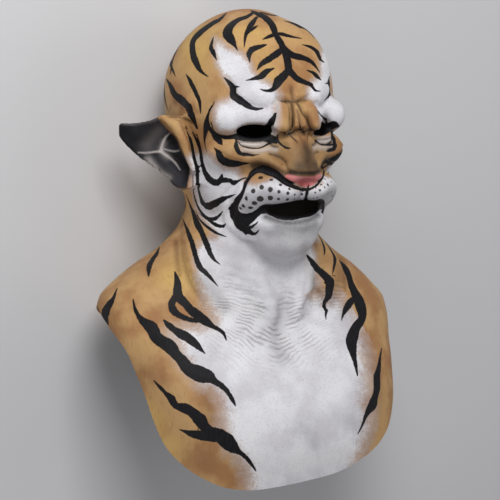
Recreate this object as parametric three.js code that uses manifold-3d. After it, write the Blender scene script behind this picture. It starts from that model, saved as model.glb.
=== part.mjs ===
import * as THREE from 'three';
import { mergeVertices } from 'three/addons/utils/BufferGeometryUtils.js';
import Module from 'manifold-3d';

// Latex tiger mask for the whole head, with a long neck, a chest bib and a short back panel.
// One hollow cast skin, open below, with two eye holes and an open mouth.
// It is worked out upright in millimetres, face towards -Y and crown up, and laid on its back
// at the end. Most forms are given for +x and repeated for -x.

// Driving sizes
const WALL = 4;
const BODY_Y = 12;
const NECK_TOP = 340;
const SHOULDER_LEAN = 0.06;
const LEAN_FADES = [190, 290];
const EAR_THICK = 3.2;
const EAR_BOW = 15;
const FACE_CELL = 7.6;
const BODY_CELL = 22;
const INSIDE_CELL = 28;
const GRID_EASE = 0.5;
const WELD = 0.01;
const OUTSIDE_END = -20;
const INSIDE_END = -60;

// How it lies: the tilt that lets the back of the head and the back panel touch the floor,
// the depth of the floor under the upright frame's axis, and the middle of the footprint
const TILT = THREE.MathUtils.degToRad(0.627);
const FLOOR = 117.9;
const MIDDLE = [-0.9, 252.9];

// The body under the chin: height, then half width, front depth, back depth and squareness
const HALF_WIDTH = [
  [-60, 140], [0, 154], [50, 161], [100, 163], [140, 168], [168, 172], [186, 169],
  [203, 154], [222, 130], [243, 95], [270, 68], [300, 60], [380, 56],
];
const FRONT_DEPTH = [
  [-60, 108], [0, 116], [40, 118], [80, 114], [120, 100], [150, 82], [180, 68],
  [210, 61], [240, 58], [300, 56], [380, 50],
];
const BACK_DEPTH = [
  [-60, 96], [0, 100], [60, 104], [110, 106], [160, 104], [200, 97], [240, 89],
  [280, 84], [320, 80], [380, 72],
];
const SQUARENESS = [[-60, 2.6], [100, 2.7], [180, 2.4], [240, 2.1], [300, 2], [380, 2]];

// The trimmed edge: degrees round from the front, then its height
const RIM = [
  [-180, 118], [-150, 124], [-130, 146], [-115, 172], [-100, 188], [-94, 181], [-88, 171],
  [-83.5, 160], [-80, 149], [-76, 128], [-72, 106], [-68, 80], [-63.5, 57], [-58, 41],
  [-51, 27], [-40, 14], [-28, 10], [-10, 11], [14, 14], [22, 17], [30, 22], [40, 31],
  [50, 46], [58, 68], [66, 96], [74, 130], [80, 152], [86, 166], [94, 177], [104, 180],
  [118, 166], [132, 143], [150, 124], [180, 118],
];

// The ear: its root, the way it points, and its upper and lower edges along that way
const EAR_ROOT = [78, 0];
const EAR_POINTS = [0.67, 0.742];
const EAR_TOP = [[-12, 382], [0, 385], [28, 386], [45, 380], [66, 377], [75, 377], [79, 373], [81, 369]];
const EAR_LOW = [
  [-12, 318], [0, 311], [8, 309], [16, 312], [24, 318], [34, 325], [56, 342], [70, 354],
  [78, 364], [81, 369],
];

const EAR_STATIONS = [-14, 2, 12, 22, 33, 45, 56, 67, 75, 79];
const EAR_RIM = [[99, 17, 382], [92, 6, 375], [86, -2, 362], [83, -4, 347], [77.3, -6.4, 330.5]];
const EAR_RIM_RADII = [3, 5.5, 6.5, 7, 6.5, 5.5, 4];

// Small sums
const clamp = THREE.MathUtils.clamp;
const ease = THREE.MathUtils.smoothstep;

function smoothJoin(a, b, k) {
  const h = clamp(0.5 + (0.5 * (b - a)) / k, 0, 1);
  return b * (1 - h) + a * h - k * h * (1 - h);
}

function smoothCut(a, b, k) {
  return -smoothJoin(-a, -b, k);
}

// A smooth curve through [place, value] pairs that never overshoots; gives value and slope
function curve(pairs) {
  const x = pairs.map((p) => p[0]);
  const y = pairs.map((p) => p[1]);
  const last = x.length - 1;
  const rise = x.slice(1).map((v, i) => (y[i + 1] - y[i]) / (v - x[i]));
  const lean = y.map((_, i) => {
    if (i === 0) return rise[0];
    if (i === last) return rise[last - 1];
    const [a, b] = [rise[i - 1], rise[i]];
    return a * b > 0 ? (2 * a * b) / (a + b) : 0;
  });
  return (at) => {
    const v = clamp(at, x[0], x[last]);
    let i = 0;
    while (i < last - 1 && v > x[i + 1]) i += 1;
    const h = x[i + 1] - x[i];
    const t = (v - x[i]) / h;
    const value = (2 * t ** 3 - 3 * t * t + 1) * y[i] + (t ** 3 - 2 * t * t + t) * h * lean[i]
      + (3 * t * t - 2 * t ** 3) * y[i + 1] + (t ** 3 - t * t) * h * lean[i + 1];
    const slope = ((6 * t * t - 6 * t) * (y[i] - y[i + 1])) / h
      + (3 * t * t - 4 * t + 1) * lean[i] + (3 * t * t - 2 * t) * lean[i + 1];
    return [value, slope];
  };
}

// Forms: each gives the distance from a point to its skin, negative inside
function ball(centre, radius, turned = 0) {
  const [c, s] = [Math.cos(turned), Math.sin(turned)];
  const shape = (px, py, pz) => {
    const dx = px - centre[0];
    const dy = py - centre[1];
    const x = (dx * c + dy * s) / radius[0];
    const y = (dy * c - dx * s) / radius[1];
    const z = (pz - centre[2]) / radius[2];
    const near = Math.hypot(x, y, z) + 1e-9;
    return (near * (near - 1)) / (Math.hypot(x / radius[0], y / radius[1], z / radius[2]) + 1e-9);
  };
  const reach = Math.max(...radius);
  shape.low = centre.map((v) => v - reach);
  shape.high = centre.map((v) => v + reach);
  return shape;
}

function roll(points, radii) {
  const shape = (px, py, pz) => {
    let best = Infinity;
    for (let i = 0; i < points.length - 1; i += 1) {
      const [a, b] = [points[i], points[i + 1]];
      const d = [b[0] - a[0], b[1] - a[1], b[2] - a[2]];
      const q = [px - a[0], py - a[1], pz - a[2]];
      const along = (q[0] * d[0] + q[1] * d[1] + q[2] * d[2]) / (d[0] ** 2 + d[1] ** 2 + d[2] ** 2);
      const t = clamp(along, 0, 1);
      const away = Math.hypot(q[0] - t * d[0], q[1] - t * d[1], q[2] - t * d[2]);
      best = Math.min(best, away - (radii[i] + t * (radii[i + 1] - radii[i])));
    }
    return best;
  };
  const reach = Math.max(...radii);
  shape.low = [0, 1, 2].map((n) => Math.min(...points.map((p) => p[n])) - reach);
  shape.high = [0, 1, 2].map((n) => Math.max(...points.map((p) => p[n])) + reach);
  return shape;
}

const halfWidth = curve(HALF_WIDTH);
const frontDepth = curve(FRONT_DEPTH);
const backDepth = curve(BACK_DEPTH);
const squareness = curve(SQUARENESS);
const rimHeight = curve(RIM);
const earTop = curve(EAR_TOP);
const earLow = curve(EAR_LOW);

function body(x, py, pz) {
  const y = py - BODY_Y;
  const z = pz + SHOULDER_LEAN * x * (1 - ease(pz, LEAN_FADES[0], LEAN_FADES[1]));
  const [wide, wideSlope] = halfWidth(z);
  const [deep, deepSlope] = y < 0 ? frontDepth(z) : backDepth(z);
  const power = squareness(z)[0];
  const out = Math.hypot(x, y) + 1e-6;
  const [cx, cy] = [Math.abs(x) / out, Math.abs(y) / out];
  const edge = ((cx / wide) ** power + (cy / deep) ** power) ** (-1 / power);
  const slope = cx * cx * wideSlope + cy * cy * deepSlope;
  return smoothCut((out - edge) / Math.sqrt(1 + slope * slope), z - NECK_TOP, 20);
}

// The large forms, which the inside follows as well
const mainForms = [
  [ball([0, 14, 400], [81, 88, 95]), 12],
  [ball([34, -20, 408], [40, 42, 68]), 16],
  [ball([0, 34, 406], [76, 80, 76]), 20],
  [ball([0, 28, 350], [74, 84, 80]), 14],
  [ball([0, -26, 350], [72, 52, 64]), 12],
  [ball([0, -24, 298], [59, 62, 56]), 14],
  [ball([0, -56, 267], [33, 32, 25]), 16],
  [roll([[0, -62, 368], [0, -76, 338]], [16, 19]), 10],
  [ball([22, -68, 311], [26, 26, 18]), 8],
];

const faceForms = [
  // cheekbone and jaw muscle
  [ball([61, -40, 349], [19, 22, 16]), 12],
  [ball([55, -18, 316], [17, 26, 26]), 14],
  // small lump above the ear
  [ball([75, -4, 398], [9, 15, 9]), 6],
  // brow pads: a bulb outside, a waist and an inner end, with a smaller pad above
  [ball([60, -45, 385], [20, 20, 19]), 4],
  [roll([[58, -46, 386], [42, -59, 387], [27, -68, 385]], [15, 10, 12]), 6],
  [roll([[47, -46, 414], [28, -66, 404]], [10, 10]), 6],
  // frown folds between the eyes
  [roll([[15, -64, 402], [18, -73, 389], [20, -75, 377]], [9, 11, 11]), 3],
  [roll([[5, -70, 401], [6.5, -79, 388], [6.5, -81, 378]], [6, 7, 6.5]), 2],
  // nose
  [roll([[0, -66, 366], [0, -72, 350], [0, -79, 338]], [17, 18, 20]), 6],
  [ball([0, -80, 333], [23, 22, 10]), 6],
  [ball([13, -84, 326], [11, 15, 8]), 4],
  // lower lid and the snarl fold from the eye to the nose
  [roll([[58, -44, 356], [42, -58, 351], [30, -70, 343], [22, -78, 334]], [8, 9, 9, 7]), 5],
  // muzzle pads
  [ball([17, -76, 311], [20, 22, 16]), 3],
  [ball([36, -61, 311], [20, 22, 19]), 5],
  [ball([45, -53, 302], [13, 16, 13]), 6],
  // lower lip and chin
  [roll([[0, -85, 277], [26, -74, 277], [42, -60, 284]], [9, 9, 7]), 8],
  [ball([0, -60, 262], [28, 26, 20]), 10],
  // neck tendons
  [roll([[50, -16, 262], [30, -46, 215], [14, -58, 180]], [8, 8, 5]), 20],
];

const holeForms = [
  [ball([42, -68, 370], [19, 22, 7]), 4],
  [ball([0, -92, 293], [38, 34, 8.5]), 4],
  [roll([[36, -78, 292], [48, -60, 284], [48, -58, 276]], [6, 6, 3]), 4],
];

// The skin of several forms joined (or cut) one after another
function combine(start, joined, cut = []) {
  const steps = [...joined.map((f) => [...f, true]), ...cut.map((f) => [...f, false])];
  return (x, y, z) => {
    const point = [Math.abs(x), y, z];
    let d = start(x, y, z);
    for (const [shape, k, joins] of steps) {
      const far = 2 * k + 3;
      if (point.some((v, n) => v < shape.low[n] - far || v > shape.high[n] + far)) continue;
      const s = shape(...point);
      d = joins ? smoothJoin(d, s, k) : smoothCut(d, -s, k);
    }
    return d;
  };
}

const wholeSkin = combine(body, [...mainForms, ...faceForms], holeForms);
const mainSkin = combine(body, mainForms);
const outside = (x, y, z) => Math.max(wholeSkin(x, y, z), OUTSIDE_END - z);
const inside = (x, y, z) => Math.max(mainSkin(x, y, z) + WALL, INSIDE_END - z);

// Grid lines from low to high, finer inside the named bands and easing out beside them
function gridLines(low, high, cell, bands = []) {
  const lines = [low];
  while (lines[lines.length - 1] < high) {
    const x = lines[lines.length - 1];
    const sizes = bands.map(([a, b, fine]) => fine + Math.max(a - x, x - b, 0) * GRID_EASE);
    lines.push(x + Math.min(cell, ...sizes));
  }
  return lines;
}

const corners = [0, 1, 2, 3, 4, 5, 6, 7].map((c) => [c & 1, (c >> 1) & 1, (c >> 2) & 1]);
const boxSides = [[0, 1, 3, 2], [4, 5, 7, 6], [0, 1, 5, 4], [2, 3, 7, 6], [0, 2, 6, 4], [1, 3, 7, 5]];

// How many separate groups the marked corners of a box make along its edges
function cornerGroups(marked) {
  const seen = new Set();
  let groups = 0;
  for (let start = 0; start < 8; start += 1) {
    if (!marked[start] || seen.has(start)) continue;
    groups += 1;
    const queue = [start];
    while (queue.length) {
      const c = queue.pop();
      if (seen.has(c)) continue;
      seen.add(c);
      queue.push(...[1, 2, 4].map((bit) => c ^ bit).filter((n) => marked[n]));
    }
  }
  return groups;
}

function touchesItself(marked) {
  const crossed = boxSides.some(([a, b, c, d]) => marked[a] === marked[c]
    && marked[b] === marked[d] && marked[a] !== marked[b]);
  return crossed || cornerGroups(marked) > 1 || cornerGroups(marked.map((m) => !m)) > 1;
}

// Turns the weakest corner of each box in which the skin would touch itself
function clearTouches(value, boxes) {
  for (let pass = 0; pass < 12; pass += 1) {
    let turned = 0;
    for (const spots of boxes) {
      if (!touchesItself(spots.map((s) => value[s] < 0))) continue;
      const weakest = spots.reduce((a, b) => (Math.abs(value[b]) < Math.abs(value[a]) ? b : a));
      value[weakest] = value[weakest] < 0 ? 0.6 : -0.6;
      turned += 1;
    }
    if (turned === 0) return;
  }
}

// Meshes the zero skin of a field: one vertex in each grid box that it crosses
function skinMesh(field, X, Y, Z) {
  const [ny, nz] = [Y.length, Z.length];
  const spot = (i, j, k) => (i * ny + j) * nz + k;
  const value = new Float32Array(X.length * ny * nz);
  X.forEach((x, i) => Y.forEach((y, j) => Z.forEach((z, k) => {
    value[spot(i, j, k)] = field(x, y, z);
  })));
  const boxes = [];
  for (let i = 0; i < X.length - 1; i += 1) {
    for (let j = 0; j < ny - 1; j += 1) {
      for (let k = 0; k < nz - 1; k += 1) {
        boxes.push(corners.map(([a, b, c]) => spot(i + a, j + b, k + c)));
      }
    }
  }
  clearTouches(value, boxes);
  const points = [];
  const number = new Map();
  for (let i = 0; i < X.length - 1; i += 1) {
    for (let j = 0; j < ny - 1; j += 1) {
      for (let k = 0; k < nz - 1; k += 1) {
        const v = corners.map(([a, b, c]) => value[spot(i + a, j + b, k + c)]);
        const within = v.filter((d) => d < 0).length;
        if (within === 0 || within === 8) continue;
        const sum = [0, 0, 0];
        let count = 0;
        for (let a = 0; a < 8; a += 1) {
          for (const bit of [1, 2, 4]) {
            const b = a | bit;
            if (b === a || v[a] < 0 === v[b] < 0) continue;
            const t = v[a] / (v[a] - v[b]);
            const at = corners[a].map((c, n) => c + t * (corners[b][n] - c));
            sum[0] += X[i] + at[0] * (X[i + 1] - X[i]);
            sum[1] += Y[j] + at[1] * (Y[j + 1] - Y[j]);
            sum[2] += Z[k] + at[2] * (Z[k + 1] - Z[k]);
            count += 1;
          }
        }
        const cell = Math.min(X[i + 1] - X[i], Y[j + 1] - Y[j], Z[k + 1] - Z[k]);
        number.set(spot(i, j, k), points.length);
        points.push(ontoSkin(field, sum.map((s) => s / count), cell / 2));
      }
    }
  }
  const faces = [];
  const steps = [ny * nz, nz, 1];
  const sizes = [X.length, ny, nz];
  for (let axis = 0; axis < 3; axis += 1) {
    const [u, v] = [(axis + 1) % 3, (axis + 2) % 3];
    const at = [0, 0, 0];
    for (at[0] = 0; at[0] < sizes[0]; at[0] += 1) {
      for (at[1] = 0; at[1] < sizes[1]; at[1] += 1) {
        for (at[2] = 0; at[2] < sizes[2]; at[2] += 1) {
          if (at[axis] === sizes[axis] - 1 || at[u] === 0 || at[v] === 0) continue;
          const here = spot(...at);
          const inHere = value[here] < 0;
          if (inHere === value[here + steps[axis]] < 0) continue;
          const round = [here - steps[u] - steps[v], here - steps[v], here, here - steps[u]];
          const quad = round.map((s) => number.get(s));
          faces.push(...splitQuad(points, inHere ? quad : quad.reverse()));
        }
      }
    }
  }
  return { points, faces };
}

// Moves a point along the field's slope onto its zero skin, no further than a limit each time
function ontoSkin(field, point, limit) {
  const h = 0.25;
  let p = point;
  for (let turn = 0; turn < 2; turn += 1) {
    const [x, y, z] = p;
    const g = [
      (field(x + h, y, z) - field(x - h, y, z)) / (2 * h),
      (field(x, y + h, z) - field(x, y - h, z)) / (2 * h),
      (field(x, y, z + h) - field(x, y, z - h)) / (2 * h),
    ];
    const move = -field(x, y, z) / (g[0] ** 2 + g[1] ** 2 + g[2] ** 2 + 0.05);
    const length = Math.abs(move) * Math.hypot(...g) + 1e-9;
    const scale = move * Math.min(1, limit / length);
    p = p.map((v, n) => v + scale * g[n]);
  }
  return p;
}

function splitQuad(points, [a, b, c, d]) {
  const gap = (m, n) => Math.hypot(...points[m].map((v, i) => v - points[n][i]));
  if (gap(a, c) <= gap(b, d)) return [[a, b, c], [a, c, d]];
  return [[a, b, d], [b, c, d]];
}

// A closed body through rings of equal count, with its two ends fanned shut
function loft(rings) {
  const count = rings[0].length;
  const points = rings.flat();
  const middle = (ring) => [0, 1, 2].map((n) => ring.reduce((sum, p) => sum + p[n], 0) / count);
  const first = points.push(middle(rings[0])) - 1;
  const last = points.push(middle(rings[rings.length - 1])) - 1;
  const end = (rings.length - 1) * count;
  const faces = [];
  for (let j = 0; j < count; j += 1) {
    const k = (j + 1) % count;
    for (let i = 0; i < rings.length - 1; i += 1) {
      const [a, b] = [i * count + j, i * count + k];
      faces.push([a, b, b + count], [a, b + count, a + count]);
    }
    faces.push([first, k, j], [last, end + j, end + k]);
  }
  return { points, faces };
}

// Turns a body over to the other side of the mask
function mirrored({ points, faces }) {
  return {
    points: points.map(([x, y, z]) => [-x, y, z]),
    faces: faces.map(([a, b, c]) => [a, c, b]),
  };
}

const around = (count) => Array.from({ length: count }, (_, i) => (2 * Math.PI * i) / count);
const squared = (v, power) => Math.sign(v) * Math.abs(v) ** power;

// The ear as a cupped leaf that bows towards the back between its edges
function earLeaf() {
  const rings = EAR_STATIONS.map((along) => {
    const [top, low] = [earTop(along)[0], earLow(along)[0]];
    const half = (top - low) / 2;
    const bowed = EAR_BOW * (1 - ease(along, 10, 84)) * Math.min(1, half / 30);
    return around(18).map((turn) => {
      const across = squared(Math.cos(turn), 0.7);
      const thick = EAR_THICK * squared(Math.sin(turn), 0.6);
      const behind = bowed * (1 - across ** 2) - 3 - thick;
      return [
        EAR_ROOT[0] + along * EAR_POINTS[0] - behind * EAR_POINTS[1],
        EAR_ROOT[1] + along * EAR_POINTS[1] + behind * EAR_POINTS[0],
        (top + low) / 2 + half * across,
      ];
    });
  });
  return loft(rings);
}

// A round bar along a path, thicker and thinner as its radii say
function bar(path, radii, sides) {
  const line = new THREE.CatmullRomCurve3(path.map((p) => new THREE.Vector3(...p)));
  const rings = radii.map((radius, i) => {
    const t = i / (radii.length - 1);
    const ahead = line.getTangent(t);
    const side = new THREE.Vector3(0, 0, 1).cross(ahead).normalize();
    const up = ahead.clone().cross(side);
    return around(sides).map((turn) => line.getPoint(t)
      .addScaledVector(side, radius * Math.cos(turn))
      .addScaledVector(up, radius * Math.sin(turn)).toArray());
  });
  return loft(rings);
}

// A wedge of space under the trimmed edge, to be cut away
function underRim() {
  const rings = 90;
  const points = [[0, BODY_Y, 100], [0, BODY_Y, -160]];
  for (let i = 0; i < rings; i += 1) {
    const degrees = -180 + (360 * i) / rings;
    const turn = THREE.MathUtils.degToRad(degrees);
    const height = rimHeight(degrees)[0];
    const [x, y] = [Math.sin(turn), -Math.cos(turn)];
    points.push([70 * x, BODY_Y + 70 * y, height]);
    points.push([260 * x, BODY_Y + 260 * y, height]);
    points.push([260 * x, BODY_Y + 260 * y, -160]);
  }
  const faces = [];
  for (let i = 0; i < rings; i += 1) {
    const a = 2 + 3 * i;
    const b = 2 + 3 * ((i + 1) % rings);
    faces.push([0, a, b], [a, a + 1, b + 1], [a, b + 1, b]);
    faces.push([a + 1, a + 2, b + 2], [a + 1, b + 2, b + 1], [1, b + 2, a + 2]);
  }
  return { points, faces };
}

// From the upright working frame to the mask lying on its back
function lay([x, y, z]) {
  return [
    x - MIDDLE[0],
    z * Math.cos(TILT) - y * Math.sin(TILT) - MIDDLE[1],
    FLOOR - y * Math.cos(TILT) - z * Math.sin(TILT),
  ];
}

const wasm = await Module();
wasm.setup();

function solid({ points, faces }) {
  return new wasm.Manifold(new wasm.Mesh({
    numProp: 3,
    vertProperties: new Float32Array(points.flatMap(lay)),
    triVerts: new Uint32Array(faces.flat()),
  }));
}

function boxSolid(width, depth, height, centre) {
  const box = new THREE.BoxGeometry(width, depth, height).translate(...centre);
  box.deleteAttribute('normal');
  box.deleteAttribute('uv');
  const merged = mergeVertices(box);
  return new wasm.Manifold(new wasm.Mesh({
    numProp: 3,
    vertProperties: Float32Array.from(merged.attributes.position.array),
    triVerts: Uint32Array.from(merged.index.array),
  }));
}

const outerMesh = skinMesh(
  outside,
  gridLines(-190, 190, BODY_CELL, [[-74, 74, FACE_CELL]]),
  gridLines(-130, 140, BODY_CELL, [[-106, -44, FACE_CELL]]),
  gridLines(-30, 520, BODY_CELL, [[250, 416, FACE_CELL]]),
);
const innerMesh = skinMesh(
  inside,
  gridLines(-190, 190, INSIDE_CELL),
  gridLines(-130, 140, INSIDE_CELL),
  gridLines(-80, 520, INSIDE_CELL),
);
const earPieces = [earLeaf(), bar(EAR_RIM, EAR_RIM_RADII, 8)];

const floorCut = boxSolid(600, 800, 100, [0, 0, -50]);
const ears = [...earPieces, ...earPieces.map(mirrored)].map(solid);
const shell = ears.reduce((sum, piece) => sum.add(piece), solid(outerMesh))
  .subtract(solid(innerMesh)).subtract(solid(underRim())).subtract(floorCut);

// Merges vertices that share a place to within the weld and drops the triangles that vanish
function weld(made) {
  const places = new Map();
  const points = [];
  const number = [];
  for (let i = 0; i < made.vertProperties.length; i += 3) {
    const point = [0, 1, 2].map((n) => Math.round(made.vertProperties[i + n] / WELD) * WELD);
    const key = point.map((v) => v.toFixed(3)).join();
    if (!places.has(key)) places.set(key, points.push(point) - 1);
    number.push(places.get(key));
  }
  const kept = new Map();
  for (let i = 0; i < made.triVerts.length; i += 3) {
    const face = [0, 1, 2].map((n) => number[made.triVerts[i + n]]);
    if (new Set(face).size < 3) continue;
    const key = [...face].sort((a, b) => a - b).join();
    if (kept.has(key)) kept.delete(key);
    else kept.set(key, face);
  }
  return { points, faces: [...kept.values()] };
}

const made = weld(shell.getMesh());
const geometry = new THREE.BufferGeometry();
geometry.setAttribute('position', new THREE.Float32BufferAttribute(made.points.flat(), 3));
geometry.setIndex(made.faces.flat());
geometry.computeVertexNormals();

const latex = new THREE.MeshStandardMaterial({ color: 0xc89a5c, roughness: 0.55, metalness: 0 });
const skin = new THREE.Mesh(geometry, latex);
skin.name = 'mask_skin';

const mask = new THREE.Group();
mask.add(skin);
export default mask;
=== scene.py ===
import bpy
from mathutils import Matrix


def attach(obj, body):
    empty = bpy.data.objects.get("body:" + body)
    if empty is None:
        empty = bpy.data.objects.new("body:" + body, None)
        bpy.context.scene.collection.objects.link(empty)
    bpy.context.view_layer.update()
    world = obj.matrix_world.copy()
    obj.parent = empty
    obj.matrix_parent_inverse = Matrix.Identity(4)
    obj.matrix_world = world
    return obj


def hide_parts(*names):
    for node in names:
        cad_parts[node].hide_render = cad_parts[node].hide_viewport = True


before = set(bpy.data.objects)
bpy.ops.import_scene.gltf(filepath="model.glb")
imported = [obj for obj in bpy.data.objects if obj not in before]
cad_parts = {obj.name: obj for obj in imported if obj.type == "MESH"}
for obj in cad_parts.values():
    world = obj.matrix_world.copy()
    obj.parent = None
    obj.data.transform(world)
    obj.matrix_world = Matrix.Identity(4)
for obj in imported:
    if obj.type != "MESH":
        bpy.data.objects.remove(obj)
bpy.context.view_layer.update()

import math

import bpy
import numpy as np
from mathutils import Matrix, Vector

# A latex tiger mask lying on its back. It is sculpted upright in millimetres, face towards -Y and
# crown up, from the same main forms as its CAD solid, with the finer relief and the paint added.

WALL = 4.0

# How it lies: the tilt, the floor's depth under the upright axis and the middle of the footprint
TILT = math.radians(0.627)
FLOOR = 117.9
MIDDLE = (-0.9, 252.9)

# The photograph: camera turned to the mask's right, raised, far off; millimetres per pixel there
YAW = math.radians(32)
RAISED = math.radians(8)
DISTANCE = 1700.0
PIXEL = 1.07
AIM = np.array([0.0, 0.0, 240.0])
AIM_PIXEL = np.array([255.0, 250.0])
PHOTO = 500
SENSOR = 36
BACK = np.array([-math.sin(YAW) * math.cos(RAISED), -math.cos(YAW) * math.cos(RAISED), math.sin(RAISED)])
RIGHT = np.array([math.cos(YAW), -math.sin(YAW), 0.0])
UP = np.cross(BACK, RIGHT)

# How far before and behind the point aimed at the mask can be
MASK_REACH = (-220.0, 200.0)

# The outside's grid: its box and its cell size, both spread out with the distance from its centre,
# about how much a cell grows for each millimetre, and the skin's end below the trimmed edge
GRID_LOW = (-118, -56, -155)
GRID_HIGH = (118, 114, 114)
GRID_CENTRE = np.array([0.0, -60.0, 335.0])
GRID_GROWTH = 6e-5
CELL = 1.35
CELL_GROWTH = 0.02
SKIN_END = -20.0

# The same for the inside, where the grid is even
HOLLOW_LOW = (-190, -130, -80)
HOLLOW_HIGH = (190, 140, 520)
HOLLOW_CELL = 9.0
HOLLOW_END = -60.0

# The body under the chin: height, then half width, front depth, back depth and squareness
BODY_Y = 12.0
NECK_TOP = 340.0
NECK_TOP_ROUND = 20.0
HALF_WIDTH = [(-60, 140), (0, 154), (50, 161), (100, 163), (140, 168), (168, 172), (186, 169),
              (203, 154), (222, 130), (243, 95), (270, 68), (300, 60), (380, 56)]
FRONT_DEPTH = [(-60, 108), (0, 116), (40, 118), (80, 114), (120, 100), (150, 82), (180, 68),
               (210, 61), (240, 58), (300, 56), (380, 50)]
BACK_DEPTH = [(-60, 96), (0, 100), (60, 104), (110, 106), (160, 104), (200, 97), (240, 89),
              (280, 84), (320, 80), (380, 72)]
SQUARENESS = [(-60, 2.6), (100, 2.7), (180, 2.4), (240, 2.1), (300, 2), (380, 2)]

# One shoulder sits lower: how much for each millimetre aside, and the heights between which it fades
SHOULDER_LEAN = 0.06
LEAN_ENDS = (190, 290)

# The trimmed edge: degrees round from the front, then its height
RIM = [(-180, 118), (-150, 124), (-130, 146), (-115, 172), (-100, 188), (-94, 181), (-88, 171),
       (-83.5, 160), (-80, 149), (-76, 128), (-72, 106), (-68, 80), (-63.5, 57), (-58, 41),
       (-51, 27), (-40, 14), (-28, 10), (-10, 11), (14, 14), (22, 17), (30, 22), (40, 31),
       (50, 46), (58, 68), (66, 96), (74, 130), (80, 152), (86, 166), (94, 177), (104, 180),
       (118, 166), (132, 143), (150, 124), (180, 118)]

# The wedge that cuts it: its middle's height, its foot, and its inner and outer radius
WEDGE_MIDDLE = 100.0
WEDGE_FOOT = -160.0
WEDGE_RADII = (70.0, 260.0)

# The ear: its root, the way it points, and its upper and lower edges along that way
EAR_ROOT = np.array([78.0, 0.0, 350.0])
EAR_ALONG = np.array([0.67, 0.742, 0.0])
EAR_BACK = np.array([-0.742, 0.67, 0.0])
EAR_LENGTH = 78.0
EAR_THICK = 3.0
EAR_EDGE_ROUND = 3.0
EAR_TOP = [(-12, 382), (0, 385), (28, 386), (45, 380), (66, 377), (75, 377), (79, 373), (81, 369)]
EAR_LOW = [(-12, 318), (0, 311), (8, 309), (16, 312), (24, 318), (34, 325), (56, 342), (70, 354),
           (78, 364), (81, 369)]

# Its leaf bows back, flat towards the tip and where it is narrow, and is set a little forward
EAR_BOW = 15.0
EAR_BOW_ENDS = (84, 10)
EAR_BOW_SIDES = 1.3
EAR_BOW_HALF = 30.0
EAR_FORWARD = 3.0
EAR_BOX = np.array([(60.0, -40.0, 295.0), (165.0, 70.0, 400.0)])

# Where one form meets another: how far past the blend it is still worked out
BLEND_ROOM = 3.0

# How many sets of strokes, spots and painted highlights on the ear's ridges the shader draws, and how far
# apart those of one set keep, in steps of the mesh
SETS = {"stroke": 6, "spot": 4, "ridge": 2}
APART = 3.6

# How finely strokes and folds are laid on the skin, in photo pixels, and the strokes given by
# degrees round, in millimetres and degrees
STROKE_STEP = 2.5
FOLD_STEP = 6.0
AROUND_STEP = 5.0

# Painting a stroke: its reach past its half width along the skin, in steps of the mesh, and
# straight, in millimetres; and how much further the even field of all stripes stays back
STROKE_REACH = 1.3
STROKE_STRAIGHT = 9.0
STRIPE_BACK = 1.2

# How far past its reach soft shade is still worked out, and how much larger spots are than read
SOFT_ROOM = 5.0
SPOT_GROWTH = 1.1

# How much sharper than in the photo's own scale the black fields and the tan on the pads begin
BLACK_SHARP = 1.5
PAD_SHARP = 1.6

# A fold's end, in times its softness, and the least share of its width, squared, that a stroke seen
# edge on is taken to show
FOLD_END = 2.6
EDGE_ON = 0.2

# How far from the middle the rays start that lay the strokes given by degrees round
AROUND = 230.0

# Where layers of paint stop on the upright mask: depths, heights, and degrees round from the front
FACE_BACK = -25
FACE_LOW = 250
PALE_ROUND = 105
NECK_TAN_TOP = 300
NECK_TAN_ASIDE = 20
NECK_TAN_ROUND = 58
SHOULDER_TAN_ROUND = 40
SHOULDER_ENDS = (205, 180)
MUZZLE_BACK = -40
THROAT_BACK = -10
THROAT_ENDS = (262, 250)

# The pale paint's edge is sprayed wider below the neck
WIDER = 0.6
WIDER_ENDS = (240, 180)

# The nose's middle and how far round it the leather reaches
NOSE = (0, -88, 330)
NOSE_REACH = (30, 26, 22)

# The ear's dark hollow: where it starts along the ear, how far behind the leaf's middle it goes,
# and the part of the ear where it is looked for, along the ear and across it
HOLLOW_START = 3.0
HOLLOW_BEHIND = 1.8
HOLLOW_ALONG = -6.0
HOLLOW_ACROSS = 1.5

# The throat's fine wrinkles hang like a V: its middle, how round it is there and the heights
# between which it grows steeper, in photo pixels; its slope above them and what is added below
WRINKLE_MIDDLE = 276
WRINKLE_ROUND = 8
WRINKLE_ENDS = (285, 345)
WRINKLE_SLOPE = 0.15
WRINKLE_STEEPER = 0.6

# Where they are: whether on both sides, strength, then x, y, half width, half height and power
WRINKLED = [
    (False, 1.0, 272, 328, 52, 34, 3),
    (False, 0.9, 277, 345, 22, 16, 2),
    (True, 0.8, 218, 300, 22, 30, 2),
]

# What an attribute holds where its paint is out of reach, and the same for the pale paint
FAR_OFF = 12.0
PALE_FAR_OFF = 40.0

# Enlarged windows of the photograph in which the paint was read: left, top, photo pixels a step
WINDOWS = {
    "forehead": (150, 0, 0.1276),
    "face": (180, 100, 0.1084),
    "ear": (110, 80, 0.0893),
    "neck": (170, 180, 0.1084),
    "near_chest": (90, 240, 0.1659),
    "far_chest": (250, 230, 0.1658),
    "eye": (210, 118, 0.05102),
    "frown": (262, 90, 0.04783),
    "muzzle": (222, 155, 0.07844),
    "photo": (0, 0, 1),
}


def rows_of(text):
    """Rows of numbers: a space between numbers and a comma between rows."""
    return np.array([[float(number) for number in row.split()] for row in text.split(",")])


def traced(table):
    """The strokes of a table: window, whether the other side has each too, its amount, its rows.

    A line of words names the window and the sides for the strokes under it. A number before a
    colon is a stroke's amount, and a line that ends with a comma goes on in the next one."""
    strokes = []
    for line in table.replace(",\n", ", ").strip().splitlines():
        if line[0].isalpha():
            window, sides = line.split()
        elif line[0] != "#":
            amount, rows = line.split(":") if ":" in line else (0, line)
            strokes.append((window, sides == "both", float(amount), rows_of(rows)))
    return strokes


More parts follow.
